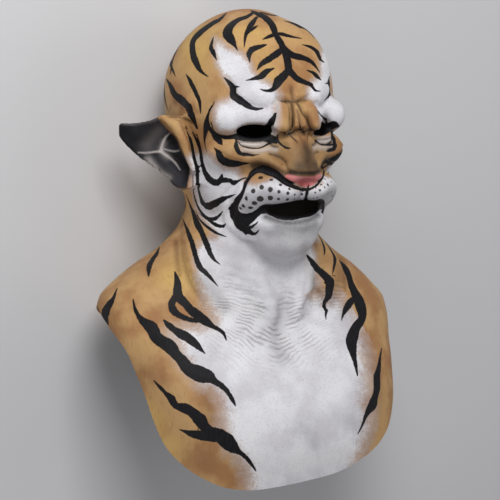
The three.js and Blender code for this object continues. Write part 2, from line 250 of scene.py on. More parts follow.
# Stripes: x, y and half width along each
STRIPES = """
forehead one
800 85 14, 850 110 30, 905 140 34, 955 195 30, 985 270 24, 1025 340 26, 1055 410 26, 1078 480 30,
1085 560 28
1085 550 24, 1040 600 30, 1000 640 34, 980 680 24, 940 712 14, 890 708 8, 860 698 3
1090 550 26, 1140 610 26, 1200 640 22, 1265 670 14, 1290 708 10, 1335 715 3
820 90 14, 760 130 20, 680 160 28, 620 210 38, 605 265 38, 640 320 30, 665 360 12, 685 395 3
835 135 12, 800 180 22, 765 235 18, 745 290 12, 735 375 2
845 200 3, 800 225 16, 760 255 16
985 270 14, 935 285 16, 880 310 3
910 350 6, 860 365 18, 800 385 22, 775 420 22, 775 460 10, 780 490 3
1045 380 22, 990 420 26, 920 470 24, 870 500 18, 835 550 3
970 535 6, 910 560 20, 870 595 24, 820 615 12, 750 630 3
forehead both
600 100 6, 545 150 20, 470 195 24, 380 265 28, 335 330 28, 335 420 28, 365 500 26, 400 560 14, 455 602 3
forehead one
495 290 3, 475 370 18, 495 410 18, 520 470 3
forehead both
240 310 4, 195 370 18, 165 440 22, 165 510 16, 200 600 3
280 580 3, 320 650 18, 355 720 18, 385 790 14, 395 890 3
130 620 6, 165 690 26, 195 745 26, 250 790 34, 300 850 26, 340 940 20, 365 1000 8
forehead one
575 605 3, 620 650 16, 650 690 24, 650 745 26, 710 790 26, 770 830 22, 820 850 14, 885 845 3
650 680 14, 700 680 3
# the forehead's far side
880 100 10, 960 120 12, 1060 125 10, 1140 150 3
1050 165 3, 1110 180 14, 1170 205 20, 1230 235 14, 1290 300 3
985 262 14, 1040 270 18, 1100 285 12, 1190 302 3
1060 380 16, 1110 430 28, 1190 450 24, 1250 475 18, 1290 510 12, 1330 570 3
1190 350 3, 1260 370 14, 1310 410 18, 1330 460 14, 1365 490 4
1225 550 3, 1275 570 14, 1310 600 16, 1340 628 3
1405 600 4, 1400 650 12, 1415 700 14, 1405 750 16, 1365 790 4
1370 655 3, 1410 650 10
1320 855 4, 1350 900 14, 1380 950 14
# round the near brow and eye
face both
310 20 6, 270 100 16, 245 190 24, 235 280 26, 225 370 10, 245 480 3
260 260 14, 330 340 30, 370 390 24, 385 412 6
eye both
20 100 18, 60 220 24, 120 305 26, 200 350 24, 290 366 28, 380 372 34, 470 370 46
540 450 8, 590 520 10, 680 564 12, 780 585 14, 880 592 14, 980 582 13, 1060 552 15, 1130 512 18, 1190 484 24
512 430 24, 512 540 42, 530 620 48, 570 690 42, 650 712 34, 730 718 28, 820 730 22, 890 722 12, 970 712 3
eye one
1310 390 22, 1335 470 22, 1400 532 22, 1470 576 24, 1530 592 18, 1580 590 4
frown one
1178 370 3, 1225 440 12, 1275 530 16, 1320 610 22, 1345 690 26
606 560 3, 612 640 8, 606 720 12, 585 800 16, 555 890 18
770 600 2, 790 690 8, 805 770 14, 820 850 20
870 460 3, 920 600 8, 955 710 10, 990 800 14, 1020 865 18
400 195 3, 450 215 8, 530 230 11, 590 225 5
740 215 4, 800 212 8, 880 192 4
320 965 8, 430 950 10, 540 910 18, 600 890 16, 700 885 8, 780 872 14, 850 862 24, 930 868 14, 1020 874 20,
1120 882 12, 1200 890 12
580 930 8, 640 985 9, 700 1045 9, 740 1080 3
1010 890 9, 990 980 6, 975 1050 2
face one
880 120 8, 850 190 24, 815 240 26, 790 280 26
# cheeks
face both
50 240 4, 98 360 11, 127 470 13, 145 580 14, 157 680 16, 164 775 19, 182 870 26, 208 935 34, 248 980 36,
300 965 34, 380 920 26, 470 885 10, 510 870 3
110 300 6, 150 380 14, 185 470 20, 205 580 20, 235 680 26, 280 740 32, 340 765 28, 372 740 28, 385 692 10
372 745 20, 420 740 24, 460 745 20, 490 765 24, 530 750 12, 600 712 4
310 440 4, 350 490 24, 380 550 34, 440 580 34, 520 590 26, 640 578 3
118 690 2, 120 800 5, 136 905 7, 178 1010 11, 240 1085 16, 285 1102 20, 330 1092 18, 377 1047 8, 397 1018 3
165 1030 2, 210 1075 5, 250 1100 8, 300 1135 14, 350 1160 16, 400 1165 14, 425 1140 5
# mouth: the hooked black corner, the lips and the line round the muzzle pads
575 800 8, 550 870 16, 510 950 32, 500 1020 50, 540 1100 60, 590 1170 50, 640 1215 26, 690 1235 12,
725 1200 5
580 1150 40, 640 1120 22, 680 1090 10, 710 1070 3
610 1190 30, 660 1170 14, 700 1140 8, 720 1120 3
muzzle both
420 195 20, 345 262 22, 285 350 26, 252 450 24, 222 540 26, 180 620 32, 140 700 44
muzzle one
345 262 20, 430 196 30, 520 176 34, 600 194 30, 680 238 34, 740 292 42, 800 345 38, 870 382 32, 950 415 26,
1030 440 24, 1078 440 20
1085 445 18, 1160 412 15, 1220 368 14, 1265 315 13, 1292 250 12, 1302 180 13, 1335 130 14, 1400 112 14,
1450 150 13, 1470 215 10
1100 380 8, 1080 460 20, 1066 540 15, 1062 610 18
# the far eye and cheek
face one
1290 290 14, 1350 258 26, 1410 240 22, 1450 246 8
1400 320 6, 1425 360 12, 1430 400 12, 1370 418 7, 1290 402 5
1330 560 12, 1375 580 20, 1430 598 12, 1480 605 4
1430 505 3, 1480 488 14, 1515 455 12
# neck
neck both
150 140 6, 200 270 18, 245 390 32, 290 480 28, 335 590 26, 370 680 22, 410 740 12, 460 778 3
115 350 3, 165 480 20, 205 590 22, 235 700 22, 270 800 26, 320 850 20, 370 900 14, 440 980 3
235 280 3, 270 360 8, 340 430 14, 430 490 12, 520 525 3
# the near shoulder and chest
near_chest one
258 356 3, 268 410 10, 292 458 15, 324 497 24, 372 530 36, 392 580 33, 440 618 37, 486 648 38, 520 694 28,
556 730 32, 594 776 36, 655 806 45, 712 824 37, 750 852 18, 805 890 15, 843 938 13, 862 972 9, 878 1005 3
442 482 4, 474 515 17, 510 543 19, 545 566 27, 590 592 25, 628 622 22, 657 650 14, 692 685 3
510 190 4, 523 238 16, 528 290 24, 528 338 28, 572 382 24, 608 422 24, 652 458 28, 700 492 25, 740 520 14,
785 545 12, 810 572 8, 820 605 3
512 345 22, 490 385 20, 500 425 22, 540 456 17, 590 478 14, 640 486 14
380 845 3, 420 888 9, 460 930 14, 488 955 24, 512 998 18, 575 1016 30, 622 1046 28, 662 1086 38,
692 1132 30, 730 1172 42, 778 1178 40, 826 1216 43, 868 1256 32, 904 1282 14, 940 1312 12, 970 1348 10,
1000 1395 3
540 1143 4, 580 1158 12, 622 1170 22, 680 1178 30, 730 1176 36
near_chest both
162 292 4, 138 350 14, 112 395 24, 92 440 30, 100 480 16, 108 505 5
418 45 6, 392 95 20, 362 140 20, 355 175 16, 352 222 3
# the far chest
far_chest one
345 155 6, 378 200 20, 410 238 22, 448 272 23, 482 312 29, 478 350 27, 474 390 23, 455 430 13, 446 460 10,
462 485 10, 456 510 7, 458 540 2
545 190 4, 572 225 16, 598 275 19, 610 325 20, 636 385 28, 662 440 35, 675 495 33, 672 545 26, 644 580 30,
624 630 39, 611 680 39, 620 740 24, 632 790 14, 642 840 10, 649 885 3
625 415 16, 596 448 25, 575 480 17, 560 515 8, 552 545 3
794 715 4, 785 770 10, 778 830 17, 766 890 26, 766 950 25, 757 1000 23, 741 1050 33, 714 1090 22,
692 1135 12, 678 1175 8, 650 1230 3
# plainer ones where the photo does not show: degrees round, height and half width in millimetres
around both
-168 486 2, -150 470 5, -132 458 6, -118 440 3, -112 428 1
-180 452 1, -158 440 5, -138 424 6, -122 404 4, -114 390 1
-176 412 1, -156 400 5, -140 384 5, -130 366 1
-180 372 1, -160 360 5, -142 342 5, -134 322 1
-172 330 1, -150 316 4, -134 296 4, -126 276 1
-180 290 1, -158 276 5, -140 258 5, -128 240 1
-120 214 1, -132 196 5, -142 176 5, -146 160 1
-176 236 1, -160 214 6, -152 190 6, -150 164 1
"""

# Black fields on the face, outlined; the amount is the side: -1 near, 1 far, 0 both. Round the eyes they
# hold black paint together with the shadow under the brows, painted black
BLACK_OUTLINES = """
eye one
-1: 400 340, 480 310, 560 282, 640 240, 700 200, 760 160, 820 145, 870 160, 950 175, 1030 180, 1070 140,
1122 100, 1165 40, 1206 -24, 1245 -90, 1272 -112, 1286 -92, 1274 -24, 1250 51, 1224 107, 1165 210, 1140 255,
1200 320, 1300 372, 1322 410, 1330 480, 1300 515, 1180 485, 1050 458, 950 466, 850 470, 700 462, 600 447,
520 428, 400 405
frown one
1: 1320 620, 1350 690, 1420 665, 1500 645, 1570 670, 1630 760, 1600 790, 1540 790, 1460 850, 1380 905,
1290 955, 1200 965, 1165 920, 1180 885, 1250 810, 1310 700
muzzle one
0: 88 720, 120 670, 170 620, 202 640, 195 700, 230 732, 300 746, 380 731, 440 690, 480 652, 540 627,
640 627, 760 624, 860 614, 960 612, 1040 602, 1100 590, 1180 575, 1240 560, 1290 565, 1310 600, 1305 690,
1290 712, 1270 692, 1240 702, 1180 757, 1100 792, 1000 807, 900 834, 800 834, 700 814, 620 777, 560 747,
500 750, 450 790, 410 840, 345 895, 325 960, 330 1010, 300 1020, 230 960, 160 880, 100 790
"""

# Whisker spots in the muzzle window: x, y and radius; near side, then far side
WHISKER_SPOTS = rows_of("""
490 290 27, 625 320 20, 740 385 18, 850 435 15, 505 415 26, 615 445 26, 720 470 19, 830 485 17, 920 505 15,
1015 500 13, 395 460 28, 310 550 26, 485 555 36, 610 550 30, 715 560 18, 830 565 17, 920 560 12,
1000 565 10, 410 605 30, 275 640 22, 365 665 26, 232 680 20, 1385 190 17, 1340 250 12, 1305 310 12,
1410 330 16, 1370 350 10, 1265 370 13, 1330 385 16, 1240 450 12, 1295 415 12, 1185 480 10, 1195 415 8,
1165 550 8, 1210 540 10, 1340 490 12, 1385 470 10, 1400 515 13
""")

# Where the paint is pale, outlined in photo pixels for the near half and repeated on the other:
# cheek, muzzle, chin, throat and chest, then the forehead patch and the brow pads
PALE_FRONT = rows_of("""
200 152, 208 154, 216 161, 226 167, 236 169, 241 175, 247 182, 256 183, 262 178, 270 174, 278 175, 285 181,
305 190, 420 190, 420 520, 249 520, 246 472, 231 451, 221 426, 221 406, 213 389, 196 383, 183 360, 173 343,
168 333, 180 328, 196 325, 213 320, 211 310, 206 302, 201 288, 196 275, 194 262, 196 249, 202 241, 209 238,
216 236, 211 229, 201 219, 196 207, 192 191, 191 176, 187 158, 191 154
""")
PALE_BROW = rows_of("""
214 38, 229 48, 242 54, 251 65, 256 76, 268 82, 277 88, 280 95, 276 108, 279 125, 272 134, 262 126, 250 125,
240 131, 228 134, 218 131, 214 122, 213 110, 217 103, 230 98, 234 92, 229 83, 222 75, 217 66, 213 50
""")

# The tan of the far shoulder and neck, in photo pixels and on that side alone
FAR_TAN = rows_of("""
299 240, 301 260, 301 286, 306 291, 321 296, 348 296, 356 300, 364 330, 366 346, 368 368, 371 384, 366 404,
373 414, 369 437, 358 462, 350 500, 480 500, 480 240
""")

# In the muzzle window: tan on top of the near pad and its mirror image, and the pink nose leather
PAD_TAN = rows_of("""
335 345, 365 285, 430 240, 520 214, 595 216, 650 240, 672 275, 610 312, 540 338, 470 352, 400 365
""")
PINK_OUTLINE = rows_of("""
790 290, 810 252, 860 238, 920 256, 980 272, 1080 274, 1160 272, 1225 245, 1258 218, 1285 240, 1275 290,
1220 342, 1160 382, 1110 405, 1060 410, 980 382, 900 342, 820 312
""")

# The ear's dark hollow, in the ear window, and the ridges in it, painted pale as painted highlights
EAR_OUTLINE = rows_of("""
60 430, 250 455, 400 436, 520 405, 640 550, 740 640, 790 760, 830 850, 915 960, 915 1180, 830 1230,
690 1190, 470 1020, 190 800, 80 600
""")
EAR_RIDGE_HIGHLIGHTS = """
ear both
664 598 6, 622 640 11, 592 700 13, 575 760 14, 562 800 16
562 800 13, 480 808 9, 400 818 10, 310 812 4
562 798 14, 620 838 14, 680 880 13, 732 932 10, 785 1010 4
590 765 5, 650 787 8, 720 800 10, 775 790 6
"""

# Soft layers of airbrushed paint and of painted light and shade: strength, then the line with its reach
SOFT = {
    # airbrushed black on the nose and lips, and painted shade: in the creases round the eyes and above the
    # muzzle pads, in the neck's hollows, under the lip and chin, over the throat and towards the chest's
    # lower edge
    "black_spray_and_shade": """
muzzle one
0.95: 870 212 36, 940 230 42, 1000 230 46, 1080 226 50, 1180 226 46, 1240 190 34
0.7: 960 190 50, 1080 160 70, 1200 165 50
0.75: 1085 -60 70, 1095 60 100, 1085 150 130
0.7: 980 150 80, 1090 120 110, 1190 130 80
0.4: 800 960 150, 1000 980 180, 1160 930 130
muzzle both
0.32: 260 640 60, 340 560 110, 480 520 130, 640 540 110, 800 550 80, 980 570 50
ear both
0.45: 720 250 30, 790 240 34, 800 300 20
near_chest one
0.16: 900 60 120, 960 200 140, 1020 340 140, 1100 480 110
0.26: 1180 380 40, 1140 500 60, 1130 620 50, 1150 700 30
near_chest both
0.3: 680 235 30, 720 300 40, 810 400 40
near_chest one
0.22: 330 800 90, 420 960 110, 560 1180 130, 700 1340 120
0.14: 900 1400 130, 1200 1380 150, 1500 1320 130
far_chest one
0.22: 300 1180 50, 360 1240 60, 390 1290 40
0.16: 540 1130 50, 640 1180 60
muzzle one
0.8: 560 790 30, 720 840 60, 850 865 70, 980 855 70, 1120 820 50, 1220 760 30
0.55: 740 880 90, 920 930 120, 1060 930 130, 1180 880 90
muzzle both
0.8: 400 150 36, 480 140 44, 560 160 36
eye both
0.75: 1190 520 30, 1250 560 30, 1310 560 20
0.7: 560 462 14, 760 478 18, 950 480 18, 1120 478 16
0.6: 1180 690 16, 1280 715 24, 1380 785 24, 1460 850 16
face both
0.5: 1290 250 20, 1300 330 20
""",
    # airbrushed brown on the nose, cheeks and snarl, and painted shade in the creases between the frown
    # folds, along the nose sides, in front of the ears, in the neck's folds and hollows and under the jaw
    "brown_spray_and_shade": """
frown one
0.95: 600 250 44, 612 400 50, 618 560 54, 606 700 58, 575 800 64, 550 890 66
0.6: 735 420 26, 760 520 30, 785 650 36, 800 760 46, 810 850 60
0.95: 750 240 44, 810 330 48, 865 450 44, 920 600 50, 955 710 54, 990 800 60, 1020 870 66
0.95: 330 170 44, 450 222 44, 560 240 50, 650 215 50, 780 215 52, 880 192 44, 980 150 36
0.75: 620 -40 40, 625 60 40, 640 190 50
0.95: 320 965 44, 430 950 54, 540 910 66, 640 885 66, 740 875 66, 850 865 76, 950 870 66, 1030 872 70,
1120 880 56, 1200 880 44
0.7: 570 935 34, 640 990 38, 700 1045 36, 745 1085 26
0.6: 790 930 34, 830 1000 26
0.6: 1005 890 34, 992 980 34, 975 1060 26
0.55: 880 1120 90, 930 1300 130, 950 1500 160
face one
0.5: 900 470 150, 1060 520 190, 1180 560 190, 1290 470 120
face both
0.35: 420 520 110, 600 560 110, 760 540 110
0.7: 820 490 14, 900 515 20, 960 565 18, 990 640 14
0.6: 560 420 12, 600 470 20, 760 480 18, 880 450 12
muzzle both
0.9: 380 120 50, 500 100 60, 640 150 50, 760 220 50, 850 240 30
face both
0.5: 560 640 60, 680 560 60, 800 560 50
ear both
0.6: 648 385 8, 665 330 9, 690 285 8
near_chest both
0.45: 510 0 12, 515 100 12, 530 180 9
0.5: 560 0 12, 585 120 12, 640 250 12, 690 380 9
0.5: 600 180 9, 650 280 10, 700 360 9
ear both
0.95: 660 395 14, 760 410 18, 860 450 18, 930 490 10
0.7: 780 480 12, 840 600 14, 880 700 12, 920 860 10
neck both
0.5: 110 400 20, 110 600 26, 140 800 26, 200 960 26, 300 1110 18
0.45: 60 560 14, 70 760 18, 90 880 12
0.35: 400 560 40, 520 620 60, 640 680 60, 760 720 40
photo one
0.75: 304 246 5, 308 262 6, 314 284 6, 324 298 5, 334 302 3
0.35: 206 262 6, 214 285 8, 228 308 8
photo both
0.3: 216 330 8, 208 380 9, 214 420 9, 238 460 9
""",
    # airbrushed white on the frown pads' edges and under the eyes, and a painted highlight on the lower
    # lids' rims
    "white_spray_and_highlight": """
eye both
1: 600 490 50, 740 520 60, 860 525 60, 980 515 56, 1080 490 40
0.6: 620 620 50, 760 635 60, 900 640 60, 1040 625 60, 1150 600 60, 1280 620 60
face one
0.7: 1290 360 16, 1350 340 20, 1400 340 14
frown one
0.85: 300 240 50, 320 420 55, 290 560 55, 240 720 64, 190 850 60, 260 930 30
0.7: 1110 300 34, 1190 450 44, 1255 620 48, 1250 750 48, 1180 840 30
""",
    # painted highlights and sheen inside the ear: its lower rim, its top edge, its ridges and a broad pale
    # patch
    "ear_highlight": """
ear both
0.45: 430 880 22, 470 930 26, 560 1030 40, 650 1090 36
0.09: 560 560 60, 480 640 90, 420 720 60
0.2: 110 490 8, 250 495 9, 400 470 9, 520 432 9
0.3: 600 700 34, 575 790 40, 640 860 34
""",
    # painted shade, near black, in the ear's hollows
    "ear_hollow_shade": """
ear both
1: 680 640 46, 700 690 56
0.9: 670 825 20, 740 850 34, 790 920 34
0.8: 850 900 50, 870 1000 60, 860 1120 70
0.6: 150 560 50, 230 640 60, 280 740 40
""",
}

# Relief: depth in millimetres, a ridge if negative, then the line with its reach
FOLDS = """
# frown folds and the creases round them
frown one
4: 600 250 44, 612 400 50, 618 560 54, 606 700 58, 580 800 60, 550 890 60
2.6: 735 420 34, 760 520 38, 785 650 42, 800 760 48, 810 850 50
4: 750 240 44, 810 330 50, 865 450 54, 920 600 58, 955 710 60, 990 800 60, 1020 870 60
3.6: 330 170 44, 450 222 52, 560 240 54, 650 215 54, 780 215 54, 880 192 50, 980 150 44
2.6: 620 -60 40, 625 60 46, 645 210 50
4.6: 320 965 46, 430 950 54, 540 910 60, 640 885 60, 740 875 62, 850 865 66, 950 870 62, 1030 872 62,
1120 880 54, 1200 880 46
3.6: 255 300 42, 270 450 50, 230 600 54, 165 720 56, 90 820 50
3.4: 1130 280 40, 1200 400 46, 1290 540 50, 1340 660 54
-1.4: 420 320 90, 440 520 100, 420 740 100
-1.8: 500 330 34, 530 440 38, 536 580 40, 528 760 40, 490 850 34
-1.4: 960 260 90, 1060 450 100, 1130 680 100
-1.2: 690 560 44, 700 740 48
-1.2: 820 480 44, 890 740 48
2.6: 570 935 36, 640 990 42, 700 1045 40, 745 1085 30
2.2: 790 930 36, 830 1000 34
2.4: 1005 890 36, 992 980 36, 975 1060 30
2.4: 315 1010 28, 350 1090 32, 430 1160 34, 530 1205 28
-1.6: 480 1040 70, 560 1080 70
forehead one
-1.6: 1030 690 36, 1050 740 34
-1.8: 1170 690 40, 1200 740 34
# brow pads: the line between them and the crease round the bulb
forehead both
2.6: 600 610 14, 640 670 18, 655 735 20, 710 785 20, 770 825 20, 830 848 18, 900 850 14
face both
2.4: 300 10 14, 262 110 18, 255 210 18, 290 300 18, 370 348 18, 450 352 14
2: 880 110 14, 850 200 18, 815 260 16
# eyes
eye both
1.8: 560 470 16, 600 528 20, 680 568 22, 780 588 24, 880 595 24, 980 585 24, 1060 555 24, 1140 512 24
-1.4: 640 505 26, 760 530 30, 880 535 30, 1000 515 26
1.8: 512 440 28, 512 540 34, 530 620 36, 570 690 36, 650 712 32, 740 722 30, 830 730 26
1.8: 1160 680 24, 1280 715 30, 1380 785 30, 1470 860 26
2: 30 590 24, 100 650 28, 200 690 26, 290 700 20
-1.4: 250 620 44, 350 700 50, 480 770 50, 640 800 50, 900 780 50
# nose sides, snarl folds and the crease round the muzzle pads
face both
2.2: 830 500 14, 900 520 16, 955 570 18, 985 640 18, 990 690 14
-1.6: 620 560 30, 720 545 34, 820 560 34, 900 610 30
muzzle both
3.8: 120 740 30, 160 660 28, 215 560 28, 250 450 28, 285 350 28, 345 262 28, 430 190 32, 520 168 34,
600 188 32, 690 240 32, 750 295 32, 810 345 28, 880 385 24, 930 406 20, 960 415 16
muzzle one
2.4: 985 423 16, 1035 438 18, 1070 444 16
3.4: 1098 380 16, 1082 460 20, 1068 540 20, 1062 600 22
2.2: 820 215 26, 870 225 26, 930 240 24
muzzle both
-2: 300 640 60, 420 520 80, 540 400 80, 700 430 70, 860 490 60
face one
-1.5: 990 705 16, 1080 705 18, 1180 715 18, 1280 690 16
# muzzle pads and cheeks
face both
1.2: 620 830 12, 680 808 12, 740 800 10
1: 600 890 10, 650 880 10
-1.8: 430 960 20, 410 1040 22, 430 1120 24, 500 1200 26, 590 1270 26, 680 1290 20
1.6: 480 930 18, 460 1030 20, 480 1120 18
1.2: 520 760 14, 440 840 16, 380 900 14
1: 370 1000 14, 300 1060 14
# folds in front of the ear
1.6: 10 160 12, 60 280 14, 100 400 14, 120 520 14
1.4: 60 200 12, 120 320 14, 160 440 14, 190 560 12
ear both
1.8: 650 392 14, 740 408 16, 840 440 16, 930 490 14
# the ears' ridges and hollows
-1.6: 650 600 16, 600 690 18, 560 800 20
-1.4: 560 800 18, 430 812 18, 310 812 16
-1.6: 560 800 18, 650 870 18, 720 930 18, 800 1020 16
-1.2: 600 762 14, 690 792 16, 770 790 14
2.4: 690 640 44, 700 700 50
2.2: 700 845 30, 770 880 36, 810 950 36
1.6: 420 880 40, 520 980 50, 640 1090 50
1: 500 560 60, 420 680 70, 300 700 60
# throat and neck
neck one
3.2: 1100 1060 50, 1030 1200 56, 1005 1340 56, 1000 1480 44
-2.2: 1150 780 40, 1150 920 44, 1120 1040 40
1.1: 620 1010 22, 740 1060 22, 880 1095 22, 1010 1085 22
1.2: 700 1130 22, 820 1195 22, 950 1215 22, 1090 1180 22, 1180 1130 22
1.4: 760 1265 24, 900 1300 24, 1060 1290 24, 1200 1225 24, 1330 1140 22
1.2: 740 1335 22, 900 1368 24, 1060 1345 24, 1240 1265 24, 1400 1180 20
1.2: 860 1420 24, 1010 1420 24, 1150 1350 24, 1320 1250 22
1: 880 1490 24, 1010 1500 24, 1130 1430 24, 1280 1330 22
0.9: 540 880 22, 680 930 22, 830 1000 22
0.9: 520 790 22, 660 845 22, 820 885 22, 980 880 22
neck both
1.3: 330 1010 20, 400 1100 22, 470 1170 22, 530 1215 18
1.3: 360 1110 20, 430 1185 22, 510 1245 18
1.3: 380 1180 20, 450 1245 22, 530 1285 18
1.2: 390 1270 20, 460 1315 22, 540 1335 18
1.5: 120 480 20, 135 640 24, 165 800 24, 220 960 24, 310 1110 20
1.3: 60 560 20, 70 720 24, 85 880 22
1.1: 170 640 18, 200 780 20, 250 920 20
-1.4: 90 560 22, 105 720 26, 130 880 26
near_chest both
1.3: 510 0 16, 515 100 16, 530 180 14
1.3: 560 0 16, 585 120 16, 640 250 16, 690 380 14
1.2: 600 180 14, 650 280 14, 700 360 14
far_chest one
1.6: 335 215 12, 345 300 14, 330 380 12
1.4: 390 260 12, 400 330 14, 385 395 12
2: 280 510 12, 325 480 14, 345 430 12
1.3: 150 600 14, 270 560 16, 370 500 16, 450 430 14
"""


# Small sums
def ease(value, start, end):
    t = np.clip((value - start) / (end - start), 0, 1)
    return t * t * (3 - 2 * t)


def join(a, b, k):
    """The smaller of two distances, blended over k."""
    h = np.clip(0.5 + 0.5 * (b - a) / k, 0, 1)
    return b * (1 - h) + a * h - k * h * (1 - h)


def cut(a, b, k):
    return -join(-a, -b, k)


def unit(ways):
    return ways / (np.linalg.norm(ways, axis=1)[:, None] + 1e-9)


def curve(pairs):
    """A smooth curve through (place, value) pairs that never overshoots; gives value and slope."""
    x, y = np.array(pairs, float).T
    rise = np.diff(y) / np.diff(x)
    lean = np.concatenate([rise[:1], np.zeros(len(x) - 2), rise[-1:]])
    both = rise[:-1] * rise[1:]
    lean[1:-1] = np.where(both > 0, 2 * both / (rise[:-1] + rise[1:] + 1e-12), 0)

    def at(value):
        v = np.clip(value, x[0], x[-1])
        i = np.clip(np.searchsorted(x, v) - 1, 0, len(x) - 2)
        h = x[i + 1] - x[i]
        t = (v - x[i]) / h
        height = (2 * t**3 - 3 * t * t + 1) * y[i] + (3 * t * t - 2 * t**3) * y[i + 1]
        height += (t**3 - 2 * t * t + t) * h * lean[i] + (t**3 - t * t) * h * lean[i + 1]
        slope = (6 * t * t - 6 * t) * (y[i] - y[i + 1]) / h
        slope += (3 * t * t - 4 * t + 1) * lean[i] + (3 * t * t - 2 * t) * lean[i + 1]
        return height, slope

    return at


# Forms: each gives the distance from points to its skin, negative inside, and the box it fills
def ball(centre, radius):
    centre = np.array(centre, float)
    radius = np.array(radius, float)

    def shape(points):
        away = points - centre
        near = np.linalg.norm(away / radius, axis=1) + 1e-9
        steep = np.linalg.norm(away / radius**2, axis=1) + 1e-9
        return near * (near - 1) / steep

    return shape, centre - radius.max(), centre + radius.max()


def stretches(points, line, radii):
    """From each stretch of a line: the way to points, its length and the radius there."""
    for a, b, start, end in zip(line[:-1], line[1:], radii[:-1], radii[1:]):
        away = points - a
        t = np.clip(away @ (b - a) / max((b - a) @ (b - a), 1e-9), 0, 1)
        away = away - t[:, None] * (b - a)
        yield away, np.linalg.norm(away, axis=1), start + t * (end - start)


def roll(line, radii):
    """A row of rounded bars, one after another."""
    line = np.array(line, float)
    radii = np.array(radii, float)

    def shape(points):
        return np.min([gap - radius for away, gap, radius in stretches(points, line, radii)], axis=0)

    return shape, line.min(axis=0) - radii.max(), line.max(axis=0) + radii.max()


half_width = curve(HALF_WIDTH)
front_depth = curve(FRONT_DEPTH)
back_depth = curve(BACK_DEPTH)
squareness = curve(SQUARENESS)
rim_height = curve(RIM)
ear_top = curve(EAR_TOP)
ear_low = curve(EAR_LOW)


def body(points):
    """The skin of neck and bib, round at the top inside the head."""
    x = points[:, 0]
    y = points[:, 1] - BODY_Y
    z = points[:, 2] + SHOULDER_LEAN * x * (1 - ease(points[:, 2], *LEAN_ENDS))
    wide, wide_slope = half_width(z)
    deep, deep_slope = np.where(y < 0, front_depth(z), back_depth(z))
    power = squareness(z)[0]
    out = np.hypot(x, y) + 1e-6
    aside = np.abs(x) / out
    ahead = np.abs(y) / out
    edge = ((aside / wide) ** power + (ahead / deep) ** power) ** (-1 / power)
    slope = aside * aside * wide_slope + ahead * ahead * deep_slope
    return cut((out - edge) / np.sqrt(1 + slope**2), z - NECK_TOP, NECK_TOP_ROUND)


def ear_place(points):
    """How far along the ear, across it from -1 to 1, behind its middle, and its half height."""
    away = points - EAR_ROOT
    along = away @ EAR_ALONG
    top = ear_top(along)[0]
    low = ear_low(along)[0]
    half = np.maximum((top - low) / 2, 1)
    across = (points[:, 2] - (top + low) / 2) / half
    bowed = 1 - np.clip(across, -EAR_BOW_SIDES, EAR_BOW_SIDES) ** 2
    bowed = EAR_BOW * bowed * ease(along, *EAR_BOW_ENDS) * np.minimum(1, half / EAR_BOW_HALF)
    return along, across, away @ EAR_BACK - bowed + EAR_FORWARD, half


def ear_shape(points):
    along, across, behind, half = ear_place(points)
    outline = np.maximum((np.abs(across) - 1) * half, along - EAR_LENGTH)
    return cut(np.abs(behind) - EAR_THICK, outline, EAR_EDGE_ROUND)


ear_leaf = (ear_shape, *EAR_BOX)

# The large forms, which the inside follows as well: form, then how softly it joins
MAIN_FORMS = [
    (ball((0, 14, 400), (81, 88, 95)), 12),
    (ball((34, -20, 408), (40, 42, 68)), 16),
    (ball((0, 34, 406), (76, 80, 76)), 20),
    (ball((0, 28, 350), (74, 84, 80)), 14),
    (ball((0, -26, 350), (72, 52, 64)), 12),
    (ball((0, -24, 298), (59, 62, 56)), 14),
    (ball((0, -56, 267), (33, 32, 25)), 16),
    (roll([(0, -62, 368), (0, -76, 338)], [16, 19]), 10),
    (ball((22, -68, 311), (26, 26, 18)), 8),
]

FACE_FORMS = [
    # cheekbone, jaw muscle, lump above the ear
    (ball((61, -40, 349), (19, 22, 16)), 12),
    (ball((55, -18, 316), (17, 26, 26)), 14),
    (ball((75, -4, 398), (9, 15, 9)), 6),
    # brow pads: a bulb outside, a waist and an inner end, with a smaller pad above
    (ball((60, -45, 385), (20, 20, 19)), 4),
    (roll([(58, -46, 386), (42, -59, 387), (27, -68, 385)], [15, 10, 12]), 6),
    (roll([(47, -46, 414), (28, -66, 404)], [10, 10]), 6),
    # frown folds between the eyes
    (roll([(15, -64, 402), (18, -73, 389), (20, -75, 377)], [9, 11, 11]), 3),
    (roll([(0, -70, 401), (0, -78, 388), (0, -80, 378)], [9, 10, 9.5]), 3),
    # nose
    (roll([(0, -66, 366), (0, -72, 350), (0, -79, 338)], [17, 18, 20]), 6),
    (ball((0, -80, 333), (23, 22, 10)), 6),
    (ball((13, -84, 326), (11, 15, 8)), 4),
    # lower lid and the snarl fold from the eye to the nose
    (roll([(58, -44, 356), (42, -58, 351), (30, -70, 343), (22, -78, 334)], [8, 9, 9, 7]), 5),
    # muzzle pads
    (ball((17, -76, 311), (20, 22, 16)), 3),
    (ball((36, -61, 311), (20, 22, 19)), 5),
    (ball((45, -53, 302), (13, 16, 13)), 6),
    # lower lip and chin
    (roll([(0, -85, 277), (26, -74, 277), (42, -60, 284)], [9, 9, 7]), 8),
    (ball((0, -60, 262), (28, 26, 20)), 10),
    # neck tendons
    (roll([(50, -16, 262), (30, -46, 215), (14, -58, 180)], [8, 8, 5]), 20),
]

EAR_FORMS = [
    (ear_leaf, 7),
    (roll([(99, 17, 382), (92, 6, 375), (86, -2, 362), (83, -4, 347), (78, -6, 332)],
          [3, 6, 7, 6, 4]), 5),
]

HOLES = [
    (ball((42, -68, 372), (19, 22, 7)), 4),
    (ball((0, -92, 293), (38, 34, 8.5)), 4),
    (roll([(36, -80, 292), (48, -63, 284), (49, -61, 276)], [6, 5, 3]), 4),
]


